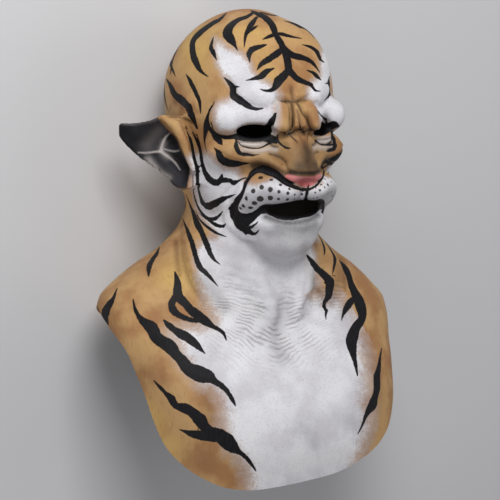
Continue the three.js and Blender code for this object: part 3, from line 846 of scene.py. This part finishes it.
def combine(joined, holes=()):
    """The skin of the body with forms joined to it and holes cut, one after another."""
    steps = [(form, k, True) for form, k in joined] + [(form, k, False) for form, k in holes]

    def field(points):
        folded = points.copy()
        folded[:, 0] = np.abs(folded[:, 0])
        d = body(points)
        for (shape, low, high), k, joins in steps:
            far = 2 * k + BLEND_ROOM
            near = ((folded > low - far) & (folded < high + far)).all(axis=1)
            if near.any():
                s = shape(folded[near])
                d[near] = join(d[near], s, k) if joins else cut(d[near], -s, k)
        return d

    return field


plain_skin = combine(MAIN_FORMS + FACE_FORMS + EAR_FORMS, HOLES)
main_skin = combine(MAIN_FORMS)


def inside(points):
    return np.maximum(main_skin(points) + WALL, HOLLOW_END - points[:, 2])


def rise_of(field, points, step):
    """How steeply a field grows along each axis at points."""
    sides = [field(points + step * axis) - field(points - step * axis) for axis in np.eye(3)]
    return np.stack(sides, axis=1) / (2 * step)


def out_of(field, points, step=0.3):
    """The unit direction out of a field's skin at points."""
    return unit(rise_of(field, points, step))


def cast(starts, ways, field, reach, step=2.0, turns=4, share=0.9):
    """Where rays first meet a field's skin, or pass nearest to it, settled over some turns."""
    far = reach[0] + step * np.arange(int((reach[1] - reach[0]) / step))
    spots = starts[:, None, :] + far[None, :, None] * ways[:, None, :]
    d = field(spots.reshape(-1, 3)).reshape(len(starts), len(far))
    first = np.where((d < 0).any(axis=1), (d < 0).argmax(axis=1), d.argmin(axis=1))
    place = far[first]
    for turn in range(turns):
        place = place + field(starts + place[:, None] * ways) * share
    return starts + place[:, None] * ways


def on_skin(pixels):
    """The points of the plain skin that show at these pixels of the photograph."""
    across, down = ((pixels - AIM_PIXEL) * PIXEL).T
    ways = unit(across[:, None] * RIGHT - down[:, None] * UP - BACK * DISTANCE)
    starts = np.repeat([AIM + BACK * DISTANCE], len(pixels), axis=0)
    return cast(starts, ways, plain_skin, DISTANCE + np.array(MASK_REACH))


def in_photo(points):
    """The pixels of the photograph at which points would show."""
    away = points - AIM
    scale = DISTANCE / PIXEL / (DISTANCE - away @ BACK)
    return AIM_PIXEL + np.stack([away @ RIGHT * scale, away @ -UP * scale], axis=1)


# Grid meshing: the corners of a grid box, its edges, and its faces as seen from outside
CORNERS = np.array([[c & 1, (c >> 1) & 1, (c >> 2) & 1] for c in range(8)])
BOX_EDGES = [(corner, corner | bit) for corner in range(8) for bit in (1, 2, 4) if not corner & bit]
BOX_FACES = [(0, 1, 3, 2), (4, 6, 7, 5), (0, 4, 5, 1), (2, 3, 7, 6), (0, 2, 6, 4), (1, 5, 7, 3)]

# What the grid holds far from the skin, and what a corner is changed to where skins would touch
FAR_VALUE = 50
NUDGE = 0.3
GENTLE_TURNS = 16

# How the net's vertices settle on the skin: in how many turns, by what share of a grid box each
# time, the step that slopes are measured with and the least slope that is counted on, squared
SETTLE_TURNS = 3
BOX_SHARE = 0.29
SETTLE_STEP = 0.2
LEAST_SLOPE = 0.05


def corner_groups(corners):
    """How many separate groups a set of a box's corners makes."""
    left = set(corners)
    groups = 0
    while left:
        groups += 1
        queue = [left.pop()]
        while queue:
            corner = queue.pop()
            beside = left & {corner ^ 1, corner ^ 2, corner ^ 4}
            left -= beside
            queue += beside
    return groups


def touches_itself(code):
    """Whether the skin would touch itself in a box with these corners inside."""
    within = {corner for corner in range(8) if code >> corner & 1}
    without = set(range(8)) - within
    for a, b, c, d in BOX_FACES:
        if {a, c} in (within & {a, b, c, d}, without & {a, b, c, d}):
            return True
    return corner_groups(within) > 1 or corner_groups(without) > 1


TOUCHES = np.array([touches_itself(code) for code in range(256)])


def corner_values(value):
    """The values at the eight corners of every grid box, one array for each corner."""
    x, y, z = np.array(value.shape) - 1
    return [value[a:a + x, b:b + y, c:c + z] for a, b, c in CORNERS]


def sampled(field, place, size, block):
    """A field on a grid: exact near its skin, and elsewhere only whether inside or outside."""
    coarse = np.stack(np.meshgrid(*[np.arange(0, n, block) for n in size], indexing="ij"), axis=-1)
    spots = place(coarse)
    rough = field(spots.reshape(-1, 3)).reshape(coarse.shape[:3])
    corners = np.array(corner_values(rough))
    span = np.linalg.norm(spots[1:, 1:, 1:] - spots[:-1, :-1, :-1], axis=-1)
    near = np.abs(corners).min(axis=0) < span
    near |= (corners.min(axis=0) < 0) & (corners.max(axis=0) > 0)
    value = np.sign(rough).repeat(block, 0).repeat(block, 1).repeat(block, 2)
    value = (value[:size[0], :size[1], :size[2]] * FAR_VALUE).astype(np.float32)
    mark = np.zeros(size, bool)
    for i, j, k in np.argwhere(near) * block:
        mark[i:i + block + 1, j:j + block + 1, k:k + block + 1] = True
    value[mark] = field(place(np.argwhere(mark)))
    return value


def clear(value):
    """Changes corners until the skin touches itself in no box; gives which corners are inside."""
    turn = 0
    while True:
        turn += 1
        bits = [(part < 0).astype(np.uint8) << bit for bit, part in enumerate(corner_values(value))]
        code = np.bitwise_or.reduce(bits)
        bad = np.argwhere(TOUCHES[code])
        if len(bad) == 0:
            return code
        spots = np.moveaxis(bad[:, None] + CORNERS, -1, 0)
        held = value[tuple(spots)]
        if turn > GENTLE_TURNS:
            # what corner by corner changes don't clear is filled, so that this comes to an end
            value[tuple(spots)] = np.minimum(held, -NUDGE)
        else:
            weakest = tuple(spots[:, np.arange(len(bad)), np.abs(held).argmin(axis=1)])
            value[weakest] = np.where(value[weakest] < 0, NUDGE, -NUDGE) * turn


def net(value, code):
    """One vertex in each grid box that the skin crosses, in steps of the grid, and the quads."""
    boxes = np.argwhere((code > 0) & (code < 255))
    number = np.full(code.shape, -1, np.int32)
    number[tuple(boxes.T)] = np.arange(len(boxes))
    total = np.zeros((len(boxes), 3))
    count = np.zeros(len(boxes))
    for first, second in BOX_EDGES:
        start = boxes + CORNERS[first]
        end = boxes + CORNERS[second]
        a = value[tuple(start.T)].astype(float)
        b = value[tuple(end.T)].astype(float)
        crosses = (a < 0) != (b < 0)
        t = np.where(crosses, a / np.where(crosses, a - b, 1), 0)[:, None]
        total += np.where(crosses[:, None], start + t * (end - start), 0)
        count += crosses

    quads = []
    within = value < 0
    for axis in range(3):
        u, v = np.roll(np.eye(3, dtype=int), -axis, axis=0)[1:]
        crossed = np.argwhere(np.diff(within, axis=axis))
        crossed = crossed[((crossed >= u + v) & (crossed < code.shape)).all(axis=1)]
        quad = np.stack([number[tuple((crossed - way).T)] for way in (u + v, v, 0 * u, u)], axis=1)
        faces_in = ~within[tuple(crossed.T)]
        quad[faces_in] = quad[faces_in][:, ::-1]
        quads.append(quad)
    return total / count[:, None], np.concatenate(quads)


def grid_mesh(field, low, high, cell, growth=0.0, centre=np.zeros(3), block=4):
    """The zero skin of a field as a mesh of quads, on a grid that is coarser away from a centre."""
    low = np.array(low, float)
    size = np.ceil(np.ceil((np.array(high) - low) / cell) / block).astype(int) * block + 1

    def place(index):
        q = low + cell * np.asarray(index, float)
        return centre + q * (1 + growth * (q**2).sum(axis=-1, keepdims=True))

    value = sampled(field, place, size, block)
    code = clear(value)
    middle, quads = net(value, code)
    points = place(middle)
    room = np.linalg.norm(place(middle + BOX_SHARE) - place(middle - BOX_SHARE), axis=1) / 2
    for turn in range(SETTLE_TURNS):
        rise = rise_of(field, points, SETTLE_STEP)
        move = -field(points)[:, None] * rise / ((rise**2).sum(axis=1) + LEAST_SLOPE)[:, None]
        length = np.linalg.norm(move, axis=1) + 1e-9
        points = points + move * np.minimum(1, room / length)[:, None]
    return points, quads


def lay(points):
    """From the upright working frame, in millimetres, to the lying mask, in metres."""
    x, y, z = np.asarray(points, float).T
    return np.stack([
        x - MIDDLE[0],
        z * math.cos(TILT) - y * math.sin(TILT) - MIDDLE[1],
        FLOOR - y * math.cos(TILT) - z * math.sin(TILT),
    ], axis=1) / 1000


def stand(points):
    """From the lying mask, in metres, back to the upright working frame."""
    x, y, z = np.asarray(points, float).T * 1000
    along = y + MIDDLE[1]
    deep = FLOOR - z
    return np.stack([
        x + MIDDLE[0],
        deep * math.cos(TILT) - along * math.sin(TILT),
        along * math.cos(TILT) + deep * math.sin(TILT),
    ], axis=1)


def add_to_scene(name, data):
    made = bpy.data.objects.new(name, data)
    bpy.context.scene.collection.objects.link(made)
    return made


def new_object(name, points, faces):
    mesh = bpy.data.meshes.new(name)
    mesh.from_pydata(np.asarray(points).tolist(), [], [list(map(int, face)) for face in faces])
    mesh.update()
    return add_to_scene(name, mesh)


def under_rim():
    """A wedge of space under the trimmed edge, one step a degree, to be cut away."""
    degrees = np.arange(-180, 180)
    inner, outer = WEDGE_RADII
    points = [(0, BODY_Y, WEDGE_MIDDLE), (0, BODY_Y, WEDGE_FOOT)]
    for degree, height in zip(degrees, rim_height(degrees)[0]):
        x = math.sin(math.radians(degree))
        y = -math.cos(math.radians(degree))
        for radius, z in ((inner, height), (outer, height), (outer, WEDGE_FOOT)):
            points.append((radius * x, BODY_Y + radius * y, z))
    faces = []
    for a in range(2, len(points), 3):
        b = a + 3 if a + 3 < len(points) else 2
        faces += [(0, a, b), (a, a + 1, b + 1, b), (a + 1, a + 2, b + 2, b + 1), (1, b + 2, a + 2)]
    return new_object("under_rim", lay(points), faces)


def floor_box():
    """The space under the floor, in metres."""
    points = [(x, y, z) for x in (-0.3, 0.3) for y in (-0.4, 0.4) for z in (-0.1, 0)]
    return new_object("floor_box", points, BOX_FACES)


def take_away(piece, tool):
    change = piece.modifiers.new("cut", "BOOLEAN")
    change.operation = "DIFFERENCE"
    change.object = tool
    change.solver = "MANIFOLD"
    bpy.context.view_layer.update()
    made = bpy.data.meshes.new_from_object(piece.evaluated_get(bpy.context.evaluated_depsgraph_get()))
    piece.modifiers.clear()
    piece.data = made
    bpy.data.objects.remove(tool)


# Paint: everything read from the photograph is laid on the sculpted skin
def smooth_line(rows, step):
    """Rows of numbers resampled along a smooth curve through them, about a step apart."""
    ends = np.concatenate([2 * rows[:1] - rows[1:2], rows, 2 * rows[-1:] - rows[-2:-1]])
    out = []
    for i in range(1, len(ends) - 2):
        p0, p1, p2, p3 = ends[i - 1:i + 3]
        count = max(1, int(np.linalg.norm(p2[:2] - p1[:2]) / step))
        t = (np.arange(count) / count)[:, None]
        part = 2 * p1 + (p2 - p0) * t + (2 * p0 - 5 * p1 + 4 * p2 - p3) * t**2
        out.append((part + (3 * p1 - p0 - 3 * p2 + p3) * t**3) / 2)
    made = np.concatenate(out + [rows[-1:]])
    made[:, 2] = np.clip(made[:, 2], rows[:, 2].min(), rows[:, 2].max())
    return made


def window_pixels(window, rows):
    """Rows read in a window as photo pixels: x, y and, where there is one, a width."""
    left, top, scale = WINDOWS[window]
    return rows * scale + np.array([left, top, 0.0])[:rows.shape[1]]


def around_stroke(rows):
    """A stroke given as degrees round, height and half width, on the skin seen from outside."""
    line = smooth_line(rows, AROUND_STEP)
    turn = np.radians(line[:, 0])
    ways = np.stack([-np.sin(turn), np.cos(turn), 0 * turn], axis=1)
    starts = np.array([0, BODY_Y, 0]) - AROUND * ways
    starts[:, 2] = line[:, 1]
    return cast(starts, ways, plain_skin, (0, AROUND - 5)), line[:, 2]


def laid_stroke(window, rows, step=STROKE_STEP):
    """A stroke on the skin: its points and its half widths in millimetres."""
    if window == "around":
        return around_stroke(rows)
    line = smooth_line(window_pixels(window, rows), step)
    points = on_skin(line[:, :2])
    across = unit(np.cross(out_of(plain_skin, points), unit(np.gradient(points, axis=0))))
    seen = np.sqrt(np.clip(1 - (across @ BACK)**2, EDGE_ON, 1))
    return points, line[:, 2] * PIXEL / seen


def nearest_on(points, line, half):
    """The way from a line's nearest point, its length and the half width there."""
    way = np.zeros((len(points), 3))
    gap = np.full(len(points), np.inf)
    wide = np.full(len(points), half[0])
    for away, length, width in stretches(points, line, half):
        nearer = length < gap
        way[nearer] = away[nearer]
        gap[nearer] = length[nearer]
        wide[nearer] = width[nearer]
    return way, gap, wide


def near_box(points, line, reach):
    return ((points > line.min(axis=0) - reach) & (points < line.max(axis=0) + reach)).all(axis=1)


def both_sides(points, ways):
    """Points and ways with those of the far half mirrored to the near half."""
    turned = np.where(points[:, :1] > 0, [-1.0, 1.0, 1.0], 1.0)
    return points * turned, ways * turned


def with_folds(field):
    """A field with the traced relief pressed into it or raised on it."""
    held = [laid_stroke(window, rows, FOLD_STEP) + (both, depth)
            for window, both, depth, rows in traced(FOLDS)]

    def folded(points):
        d = field(points)
        mirrored = both_sides(points, points)[0]
        for line, half, both, depth in held:
            own = mirrored if both else points
            near = near_box(own, line, FOLD_END * half.max())
            if near.any():
                gap, wide = nearest_on(own[near], line, half)[1:]
                d[near] += depth * np.exp(-(gap / wide)**2)
        return d

    return folded


def along_skin(points, normals, line, half, reach):
    """Which points are near a stroke, and from each the way along the skin, the gap straight across
    and the half width."""
    index = np.nonzero(near_box(points, line, half.max() + reach))[0]
    way, gap, wide = nearest_on(points[index], line, half)
    out = normals[index]
    return index, way - (way * out).sum(axis=1)[:, None] * out, gap, wide


def mesh_step(points):
    """About how far apart the mesh's vertices are at points."""
    return CELL + CELL_GROWTH * np.linalg.norm(points - GRID_CENTRE, axis=1)


def apart(first, second):
    """Whether two strokes are several steps of the mesh from each other."""
    gap = np.linalg.norm(first[0][:, None] - second[0][None], axis=2)
    gap = gap - first[1][:, None] - second[1][None]
    return (gap - APART * mesh_step(first[0])[:, None]).min() > 0


def in_sets(strokes, count):
    """Strokes shared out so that those of one set keep apart, as far as there are sets."""
    sets = [[] for turn in range(count)]
    for stroke in strokes:
        free = [held for held in sets if all(apart(stroke, other) for other in held)]
        chosen = free[0] if free else min(sets, key=lambda held: sum(not apart(stroke, o) for o in held))
        chosen.append(stroke)
    return sets


def to_strokes(skin, strokes):
    """From each point: the gap to its nearest stroke, the way along the skin and the half width.

    The way passes evenly through zero on a stroke's middle line, so that it keeps a thin line whole
    between the mesh's vertices. Out of reach of every stroke the half width is far below zero."""
    points = skin[False][0]
    best = np.full(len(points), 1e9)
    ways = np.zeros((len(points), 3))
    halves = np.full(len(points), -FAR_OFF)
    reach = STROKE_REACH * mesh_step(points)
    for line, half, both in strokes:
        index, way, straight, wide = along_skin(*skin[both], line, half, FAR_OFF)
        gap = np.linalg.norm(way, axis=1)
        held = (gap < wide + reach[index]) & (gap - wide < best[index]) & (straight < wide + STROKE_STRAIGHT)
        index = index[held]
        best[index] = (gap - wide)[held]
        ways[index] = way[held]
        halves[index] = wide[held]
    return best, ways, halves


def put_strokes(made, skin, kind, strokes):
    """Adds the attributes of a kind of stroke to those made, and gives the gap to the nearest."""
    nearest = np.inf
    for number, held in enumerate(in_sets(strokes, SETS[kind])):
        gap, made[f"{kind}_way_{number}"], made[f"{kind}_half_{number}"] = to_strokes(skin, held)
        nearest = np.minimum(nearest, gap)
    return nearest


def outline_gap(places, outline):
    """Signed distance in millimetres of photo pixels to an outline, negative inside."""
    gap = np.full(len(places), np.inf)
    odd = np.zeros(len(places), bool)
    x, y = places.T
    for a, b in zip(outline, np.roll(outline, -1, axis=0)):
        t = np.clip((places - a) @ (b - a) / ((b - a) @ (b - a)), 0, 1)
        gap = np.minimum(gap, np.linalg.norm(places - a - t[:, None] * (b - a), axis=1))
        crosses = (a[1] > y) != (b[1] > y)
        odd ^= crosses & (x < (b[0] - a[0]) * (y - a[1]) / (b[1] - a[1] + 1e-12) + a[0])
    return np.where(odd, -gap, gap) * PIXEL


def soft(skin, layers):
    """The strongest of several soft-edged strokes at each point."""
    total = np.zeros(len(skin[False][0]))
    for window, both, strength, rows in layers:
        line, half = laid_stroke(window, rows)
        index, way = along_skin(*skin[both], line, half, half.max() + SOFT_ROOM)[:2]
        fall = np.exp(-(np.linalg.norm(way, axis=1) / half.mean())**2)
        total[index] = np.maximum(total[index], strength * fall)
    return total


def mound(places, x, y, wide, high, power):
    """1 at a pixel of the photo and falling off round it."""
    return np.exp(-(np.abs(places[:, 0] - x) / wide)**power - (np.abs(places[:, 1] - y) / high)**power)


def paint(points, normals):
    """The paint attributes of the outer skin, one value for each point."""
    skin = {False: (points, normals), True: both_sides(points, normals)}
    seen = in_photo(points)
    mirrored = in_photo(skin[True][0])
    x, y, z = points.T
    turn = np.degrees(np.arctan2(np.abs(x), BODY_Y - y))
    made = {name: soft(skin, traced(table)) for name, table in SOFT.items()}

    # stripes, black fields and whisker spots
    strokes = [laid_stroke(window, rows) + (both,) for window, both, amount, rows in traced(STRIPES)]
    stripe = np.minimum(FAR_OFF, put_strokes(made, skin, "stroke", strokes) + STRIPE_BACK)
    on_face = (y < FACE_BACK) & (z > FACE_LOW)
    # round the eyes the black fields are black paint and painted shadow under the brows
    for window, both, side, rows in traced(BLACK_OUTLINES):
        black = np.minimum(stripe, BLACK_SHARP * outline_gap(seen, window_pixels(window, rows)))
        stripe = np.where(on_face & (x * side >= 0), black, stripe)
    made["stripe"] = stripe
    spots = window_pixels("muzzle", WHISKER_SPOTS)
    radii = spots[:, 2] * PIXEL * SPOT_GROWTH
    spots = [(np.array([spot, spot]), np.full(2, radius), False)
             for spot, radius in zip(on_skin(spots[:, :2]), radii)]
    put_strokes(made, skin, "spot", spots)

    # pale paint in front, less the tan of the far shoulder and neck and of the muzzle pads' tops
    pale = np.minimum(outline_gap(mirrored, PALE_FRONT), outline_gap(mirrored, PALE_BROW))
    pale = np.where(turn > PALE_ROUND, PALE_FAR_OFF, np.minimum(pale, PALE_FAR_OFF))
    tan = np.where((x > 0) & (z < NECK_TAN_TOP), outline_gap(seen, FAR_TAN), PALE_FAR_OFF)
    tan = np.maximum(tan, SHOULDER_TAN_ROUND - turn - 2 * PALE_FAR_OFF * ease(z, *SHOULDER_ENDS))
    all_tan = (x > NECK_TAN_ASIDE) & (z < NECK_TAN_TOP - 4) & (turn > NECK_TAN_ROUND)
    tan = np.where(all_tan, -PALE_FAR_OFF, tan)
    pale = np.maximum(pale, -tan)
    pad_tan = outline_gap(mirrored, window_pixels("muzzle", PAD_TAN))
    pale = np.where(y < MUZZLE_BACK, np.maximum(pale, -PAD_SHARP * pad_tan), pale)
    made["pale"] = pale * (1 - WIDER * ease(z, *WIDER_ENDS))

    leather = outline_gap(seen, window_pixels("muzzle", PINK_OUTLINE))
    on_nose = np.linalg.norm((points - NOSE) / NOSE_REACH, axis=1) < 1
    made["pink"] = np.where(on_nose, leather, FAR_OFF)

    # the ears' hollows and ridges
    along, across, deep = ear_place(skin[True][0] * [-1, 1, 1])[:3]
    hollow = outline_gap(mirrored, window_pixels("ear", EAR_OUTLINE))
    hollow = np.maximum(np.maximum(hollow, HOLLOW_START - along), 2 * (deep - HOLLOW_BEHIND))
    hollow = np.minimum(hollow, FAR_OFF)
    made["ear_dark"] = np.where((along > HOLLOW_ALONG) & (np.abs(across) < HOLLOW_ACROSS), hollow, FAR_OFF)
    ridges = [laid_stroke(window, rows) + (both,) for window, both, amount, rows in traced(EAR_RIDGE_HIGHLIGHTS)]
    put_strokes(made, skin, "ridge", ridges)

    # fine wrinkles across the throat: the field they run along, and where they are
    slope = WRINKLE_SLOPE + WRINKLE_STEEPER * ease(seen[:, 1], *WRINKLE_ENDS)
    made["ring"] = seen[:, 1] + slope * np.hypot(seen[:, 0] - WRINKLE_MIDDLE, WRINKLE_ROUND)
    zones = [strength * mound(mirrored if both else seen, *at) for both, strength, *at in WRINKLED]
    made["wrinkle"] = np.max(zones, axis=0) * (y < THROAT_BACK) * ease(z, *THROAT_ENDS)
    return made


# Shader helpers
def colour(red, green, blue):
    """A colour given in 0 to 255 screen values."""
    shares = [v / 255 for v in (red, green, blue)]
    return [v / 12.92 if v <= 0.04045 else ((v + 0.055) / 1.055)**2.4 for v in shares] + [1.0]


class Nodes:
    """Adds nodes to a new material. Each input is a number, a colour or another node's output."""

    def __init__(self, name):
        self.material = bpy.data.materials.new(name)
        self.material.use_nodes = True
        self.tree = self.material.node_tree
        self.tree.nodes.clear()

    def add(self, kind, inputs, output=0, **settings):
        node = self.tree.nodes.new(kind)
        for name, value in settings.items():
            setattr(node, name, value)
        for key, value in inputs.items():
            if isinstance(value, bpy.types.NodeSocket):
                self.tree.links.new(value, node.inputs[key])
            else:
                node.inputs[key].default_value = value
        return node.outputs[output] if node.outputs else node

    def math(self, operation, *values):
        """An operation on one value, or on two or more from left to right."""
        if len(values) == 1:
            return self.add("ShaderNodeMath", {0: values[0]}, operation=operation)
        made = values[0]
        for value in values[1:]:
            made = self.add("ShaderNodeMath", {0: made, 1: value}, operation=operation)
        return made

    def sum(self, *values):
        return self.math("ADD", *values)

    def product(self, *values):
        return self.math("MULTIPLY", *values)

    def spread(self, texture, amount):
        """A texture that runs evenly below and above zero."""
        return self.product(self.math("SUBTRACT", texture, 0.5), amount)

    def ramp(self, value, start, end):
        """0 where value is at start and 1 at end, smooth between."""
        inputs = {"Value": value, "From Min": start, "From Max": end}
        return self.add("ShaderNodeMapRange", inputs, interpolation_type="SMOOTHSTEP")

    def mix(self, amount, a, b):
        """From a to b; either may be given as screen values."""
        a, b = [colour(*paint) if isinstance(paint, tuple) else paint for paint in (a, b)]
        return self.add("ShaderNodeMix", {0: amount, 6: a, 7: b}, 2, data_type="RGBA")

    def noise(self, place, scale, detail=2.0, rough=0.5):
        inputs = {"Vector": place, "Scale": scale, "Detail": detail, "Roughness": rough}
        return self.add("ShaderNodeTexNoise", inputs)

    def attribute(self, name, output="Fac"):
        return self.add("ShaderNodeAttribute", {}, output, attribute_name=name)

    def strokes(self, kind, ragged, softness=0.4):
        """How far the paint of each set covers, its edge wandering less on a thin line."""
        covers = []
        for number in range(SETS[kind]):
            way = self.attribute(f"{kind}_way_{number}", "Vector")
            gap = self.add("ShaderNodeVectorMath", {0: way}, "Value", operation="LENGTH")
            half = self.attribute(f"{kind}_half_{number}")
            room = self.math("MINIMUM", self.product(self.math("MAXIMUM", half, 0.2), 0.42), 1.0)
            edge = self.sum(self.math("SUBTRACT", gap, half), self.product(ragged, room))
            covers.append(self.ramp(edge, softness, -softness))
        return covers

    def finish(self, inputs):
        """The material, with a plain surface of these inputs."""
        self.add("ShaderNodeOutputMaterial", {"Surface": self.add("ShaderNodeBsdfPrincipled", inputs)})
        return self.material


def latex_material():
    n = Nodes("painted_latex")
    place = n.add("ShaderNodeTexCoord", {}, "Object")
    # hair-like streaks run down the mask, which lies along Y
    stretched = n.add("ShaderNodeMapping", {"Vector": place, "Scale": (1.0, 0.28, 1.0)})
    streak = n.noise(stretched, 420.0, 3.0, 0.6)
    fine = n.noise(place, 1500.0, 2.0, 0.6)
    broad = n.noise(place, 26.0, 3.0, 0.55)
    patch = n.noise(place, 9.0)
    wander = n.noise(place, 110.0)
    grain = n.noise(place, 520.0, 2.0, 0.6)
    brown_and_shade = n.attribute("brown_spray_and_shade")

    # orange with yellower and browner patches and fine streaks
    tan = n.mix(n.ramp(broad, 0.38, 0.66), (190, 152, 104), (162, 118, 78))
    tan = n.mix(n.ramp(patch, 0.52, 0.75), tan, (198, 162, 98))
    tan = n.mix(n.product(n.ramp(streak, 0.5, 0.75), 0.3), tan, (140, 100, 62))
    # the brown layer: airbrushed brown and painted shade in creases and hollows
    tan = n.mix(n.product(brown_and_shade, 0.9), tan, (56, 34, 20))

    # pale paint, sprayed over the orange with a speckled edge
    white = n.mix(n.ramp(broad, 0.35, 0.7), (226, 225, 228), (204, 202, 207))
    white = n.mix(n.product(n.ramp(grain, 0.5, 0.7), 0.25), white, (158, 154, 160))
    # the brown layer darkens the white as well, as paint and as painted shade
    white = n.mix(n.product(brown_and_shade, 0.4), white, (128, 112, 100))
    edge = n.sum(n.attribute("pale"), n.spread(wander, 6.0), n.spread(grain, 6.0))
    covered = n.ramp(edge, 6.0, -6.0)
    base = n.mix(covered, tan, white)
    halfway = n.product(covered, n.math("SUBTRACT", 1.0, covered))
    base = n.mix(n.product(halfway, 1.5), base, (150, 112, 88))
    # pale airbrush, and painted highlights on the lower lids
    base = n.mix(n.attribute("white_spray_and_highlight"), base, (196, 188, 184))

    pink = n.mix(n.ramp(broad, 0.4, 0.65), (230, 152, 150), (204, 114, 113))
    base = n.mix(n.ramp(n.sum(n.attribute("pink"), n.spread(streak, 1.5)), 0.5, -0.7), base, pink)

    # fine wrinkles across the throat, broken up into short lengths, with painted shade in their valleys
    drift = n.sum(n.product(n.noise(place, 45.0), 16.0), n.product(wander, 3.0))
    turn = n.sum(n.product(n.attribute("ring"), 1.15), drift)
    patchy = n.ramp(n.noise(place, 60.0, 1.0), 0.36, 0.6)
    valley = n.product(n.attribute("wrinkle"), n.ramp(n.math("SINE", turn), 0.1, -1.0), patchy)
    # painted shade in the wrinkles' valleys
    base = n.mix(n.product(valley, 0.5), base, (116, 102, 98))
    # the black layer: airbrushed black and painted shade in creases, hollows, under the chin and on the
    # lower chest
    shade = n.product(n.attribute("black_spray_and_shade"), n.sum(0.85, n.product(streak, 0.3)))
    base = n.mix(shade, base, (34, 30, 30))

    # the ears' hollows: dark paint, painted shade deeper in the pits and painted highlights on the rims and
    # ridges
    ragged = n.sum(n.spread(streak, 1.8), n.spread(wander, 1.6))
    ear = n.mix(n.ramp(broad, 0.35, 0.7), (18, 17, 21), (38, 36, 42))
    ear = n.mix(n.attribute("ear_hollow_shade"), ear, (9, 7, 8))
    ear = n.mix(n.attribute("ear_highlight"), ear, (200, 190, 186))
    # bright strokes along the ridges: painted highlights
    for ridge in n.strokes("ridge", ragged, 1.1):
        ear = n.mix(n.product(ridge, n.product(streak, 1.1)), ear, (206, 198, 194))
    base = n.mix(n.ramp(n.sum(n.attribute("ear_dark"), n.spread(streak, 3.0)), 1.5, -1.5), base, ear)

    # stripes and spots with ragged sprayed edges
    stripe = n.ramp(n.sum(n.attribute("stripe"), ragged), 0.6, -0.6)
    stripe = n.math("MAXIMUM", stripe, *n.strokes("stroke", ragged))
    base = n.mix(stripe, base, n.mix(n.ramp(streak, 0.35, 0.7), (13, 12, 15), (24, 22, 26)))
    spot = n.math("MAXIMUM", *n.strokes("spot", ragged))
    base = n.mix(n.product(spot, 0.95), base, (38, 32, 32))

    inner = n.attribute("inner")
    base = n.mix(inner, base, n.mix(broad, (70, 65, 60), (90, 84, 78)))
    rough = n.sum(0.5, n.product(fine, 0.16), n.product(inner, 0.2))

    pores = n.add("ShaderNodeTexVoronoi", {"Vector": place, "Scale": 900.0}, "Distance", feature="F1")
    relief = n.sum(n.product(pores, 0.35), n.product(fine, 0.3), n.product(streak, 0.25))
    relief = n.math("SUBTRACT", relief, n.product(valley, 3.0))
    bump = n.add("ShaderNodeBump", {"Height": relief, "Strength": 0.35, "Distance": 0.0006})
    return n.finish({"Base Color": base, "Roughness": rough, "Normal": bump, "Specular IOR Level": 0.18})


# Smooth shading stops at this angle, and the lining's paint starts between these depths
SHARP = math.radians(60)
LINING_ENDS = (-0.6, -1.4)

# The mask: its outside, less its hollow, what is under its trimmed edge and what is under the floor
folded_skin = with_folds(plain_skin)


def outside(points):
    return np.maximum(folded_skin(points), SKIN_END - points[:, 2])


points, quads = grid_mesh(outside, GRID_LOW, GRID_HIGH, CELL, GRID_GROWTH, GRID_CENTRE)
skin = new_object("tiger_mask", lay(points), quads)
points, quads = grid_mesh(inside, HOLLOW_LOW, HOLLOW_HIGH, HOLLOW_CELL, block=3)
take_away(skin, new_object("hollow", lay(points), quads))
take_away(skin, under_rim())
take_away(skin, floor_box())
mesh = skin.data
mesh.polygons.foreach_set("use_smooth", [True] * len(mesh.polygons))
mesh.set_sharp_from_angle(angle=SHARP)

laid = np.empty(len(mesh.vertices) * 3, np.float32)
mesh.vertices.foreach_get("co", laid)
upright = stand(laid.reshape(-1, 3))
attributes = paint(upright, out_of(plain_skin, upright))
attributes["inner"] = ease(folded_skin(upright), *LINING_ENDS)
for name, values in attributes.items():
    kind, part = ("FLOAT", "value") if values.ndim == 1 else ("FLOAT_VECTOR", "vector")
    held = mesh.attributes.new(name, kind, "POINT")
    held.data.foreach_set(part, values.astype(np.float32).ravel())
mesh.materials.clear()
mesh.materials.append(latex_material())

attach(skin, "root")
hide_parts("mask_skin")

floor = new_object("floor", [(-3, -3, 0), (3, -3, 0), (3, 3, 0), (-3, 3, 0)], [(0, 1, 2, 3)])
floor.data.materials.append(Nodes("floor").finish({"Base Color": colour(206, 206, 208), "Roughness": 0.9}))

# The photograph's camera, laid down with the mask
camera = add_to_scene("camera", bpy.data.cameras.new("camera"))
bpy.context.scene.camera = camera
ways = (lay([RIGHT, UP, BACK]) - lay([(0, 0, 0)])) * 1000
matrix = Matrix(ways.tolist()).transposed().to_4x4()
matrix.translation = lay([AIM + BACK * DISTANCE - RIGHT * (AIM_PIXEL[0] - PHOTO / 2) * PIXEL])[0]
camera.matrix_world = matrix
camera.data.sensor_width = SENSOR
camera.data.lens = SENSOR * DISTANCE / PIXEL / PHOTO

world = bpy.data.worlds.new("world")
bpy.context.scene.world = world
world.use_nodes = True
world.node_tree.nodes["Background"].inputs[0].default_value = (0.15, 0.15, 0.155, 1)
bpy.context.scene.view_settings.view_transform = "Standard"

# The point in the mask's middle that the lights look at, then their names, places, sizes and powers
LIT = Vector((0, 0, 0.1))
for name, place, size, power in (
    ("key", Vector((-0.45, 1.1, 1.2)), 0.8, 21),
    ("fill", Vector((-1.2, -0.5, 1.1)), 1.0, 5),
    ("far", Vector((1.3, 0.2, 1.2)), 1.0, 5),
):
    light = add_to_scene(name, bpy.data.lights.new(name, "AREA"))
    light.data.size = size
    light.data.energy = power
    light.location = place
    light.rotation_mode = "QUATERNION"
    light.rotation_quaternion = (LIT - place).to_track_quat("-Z", "Y")
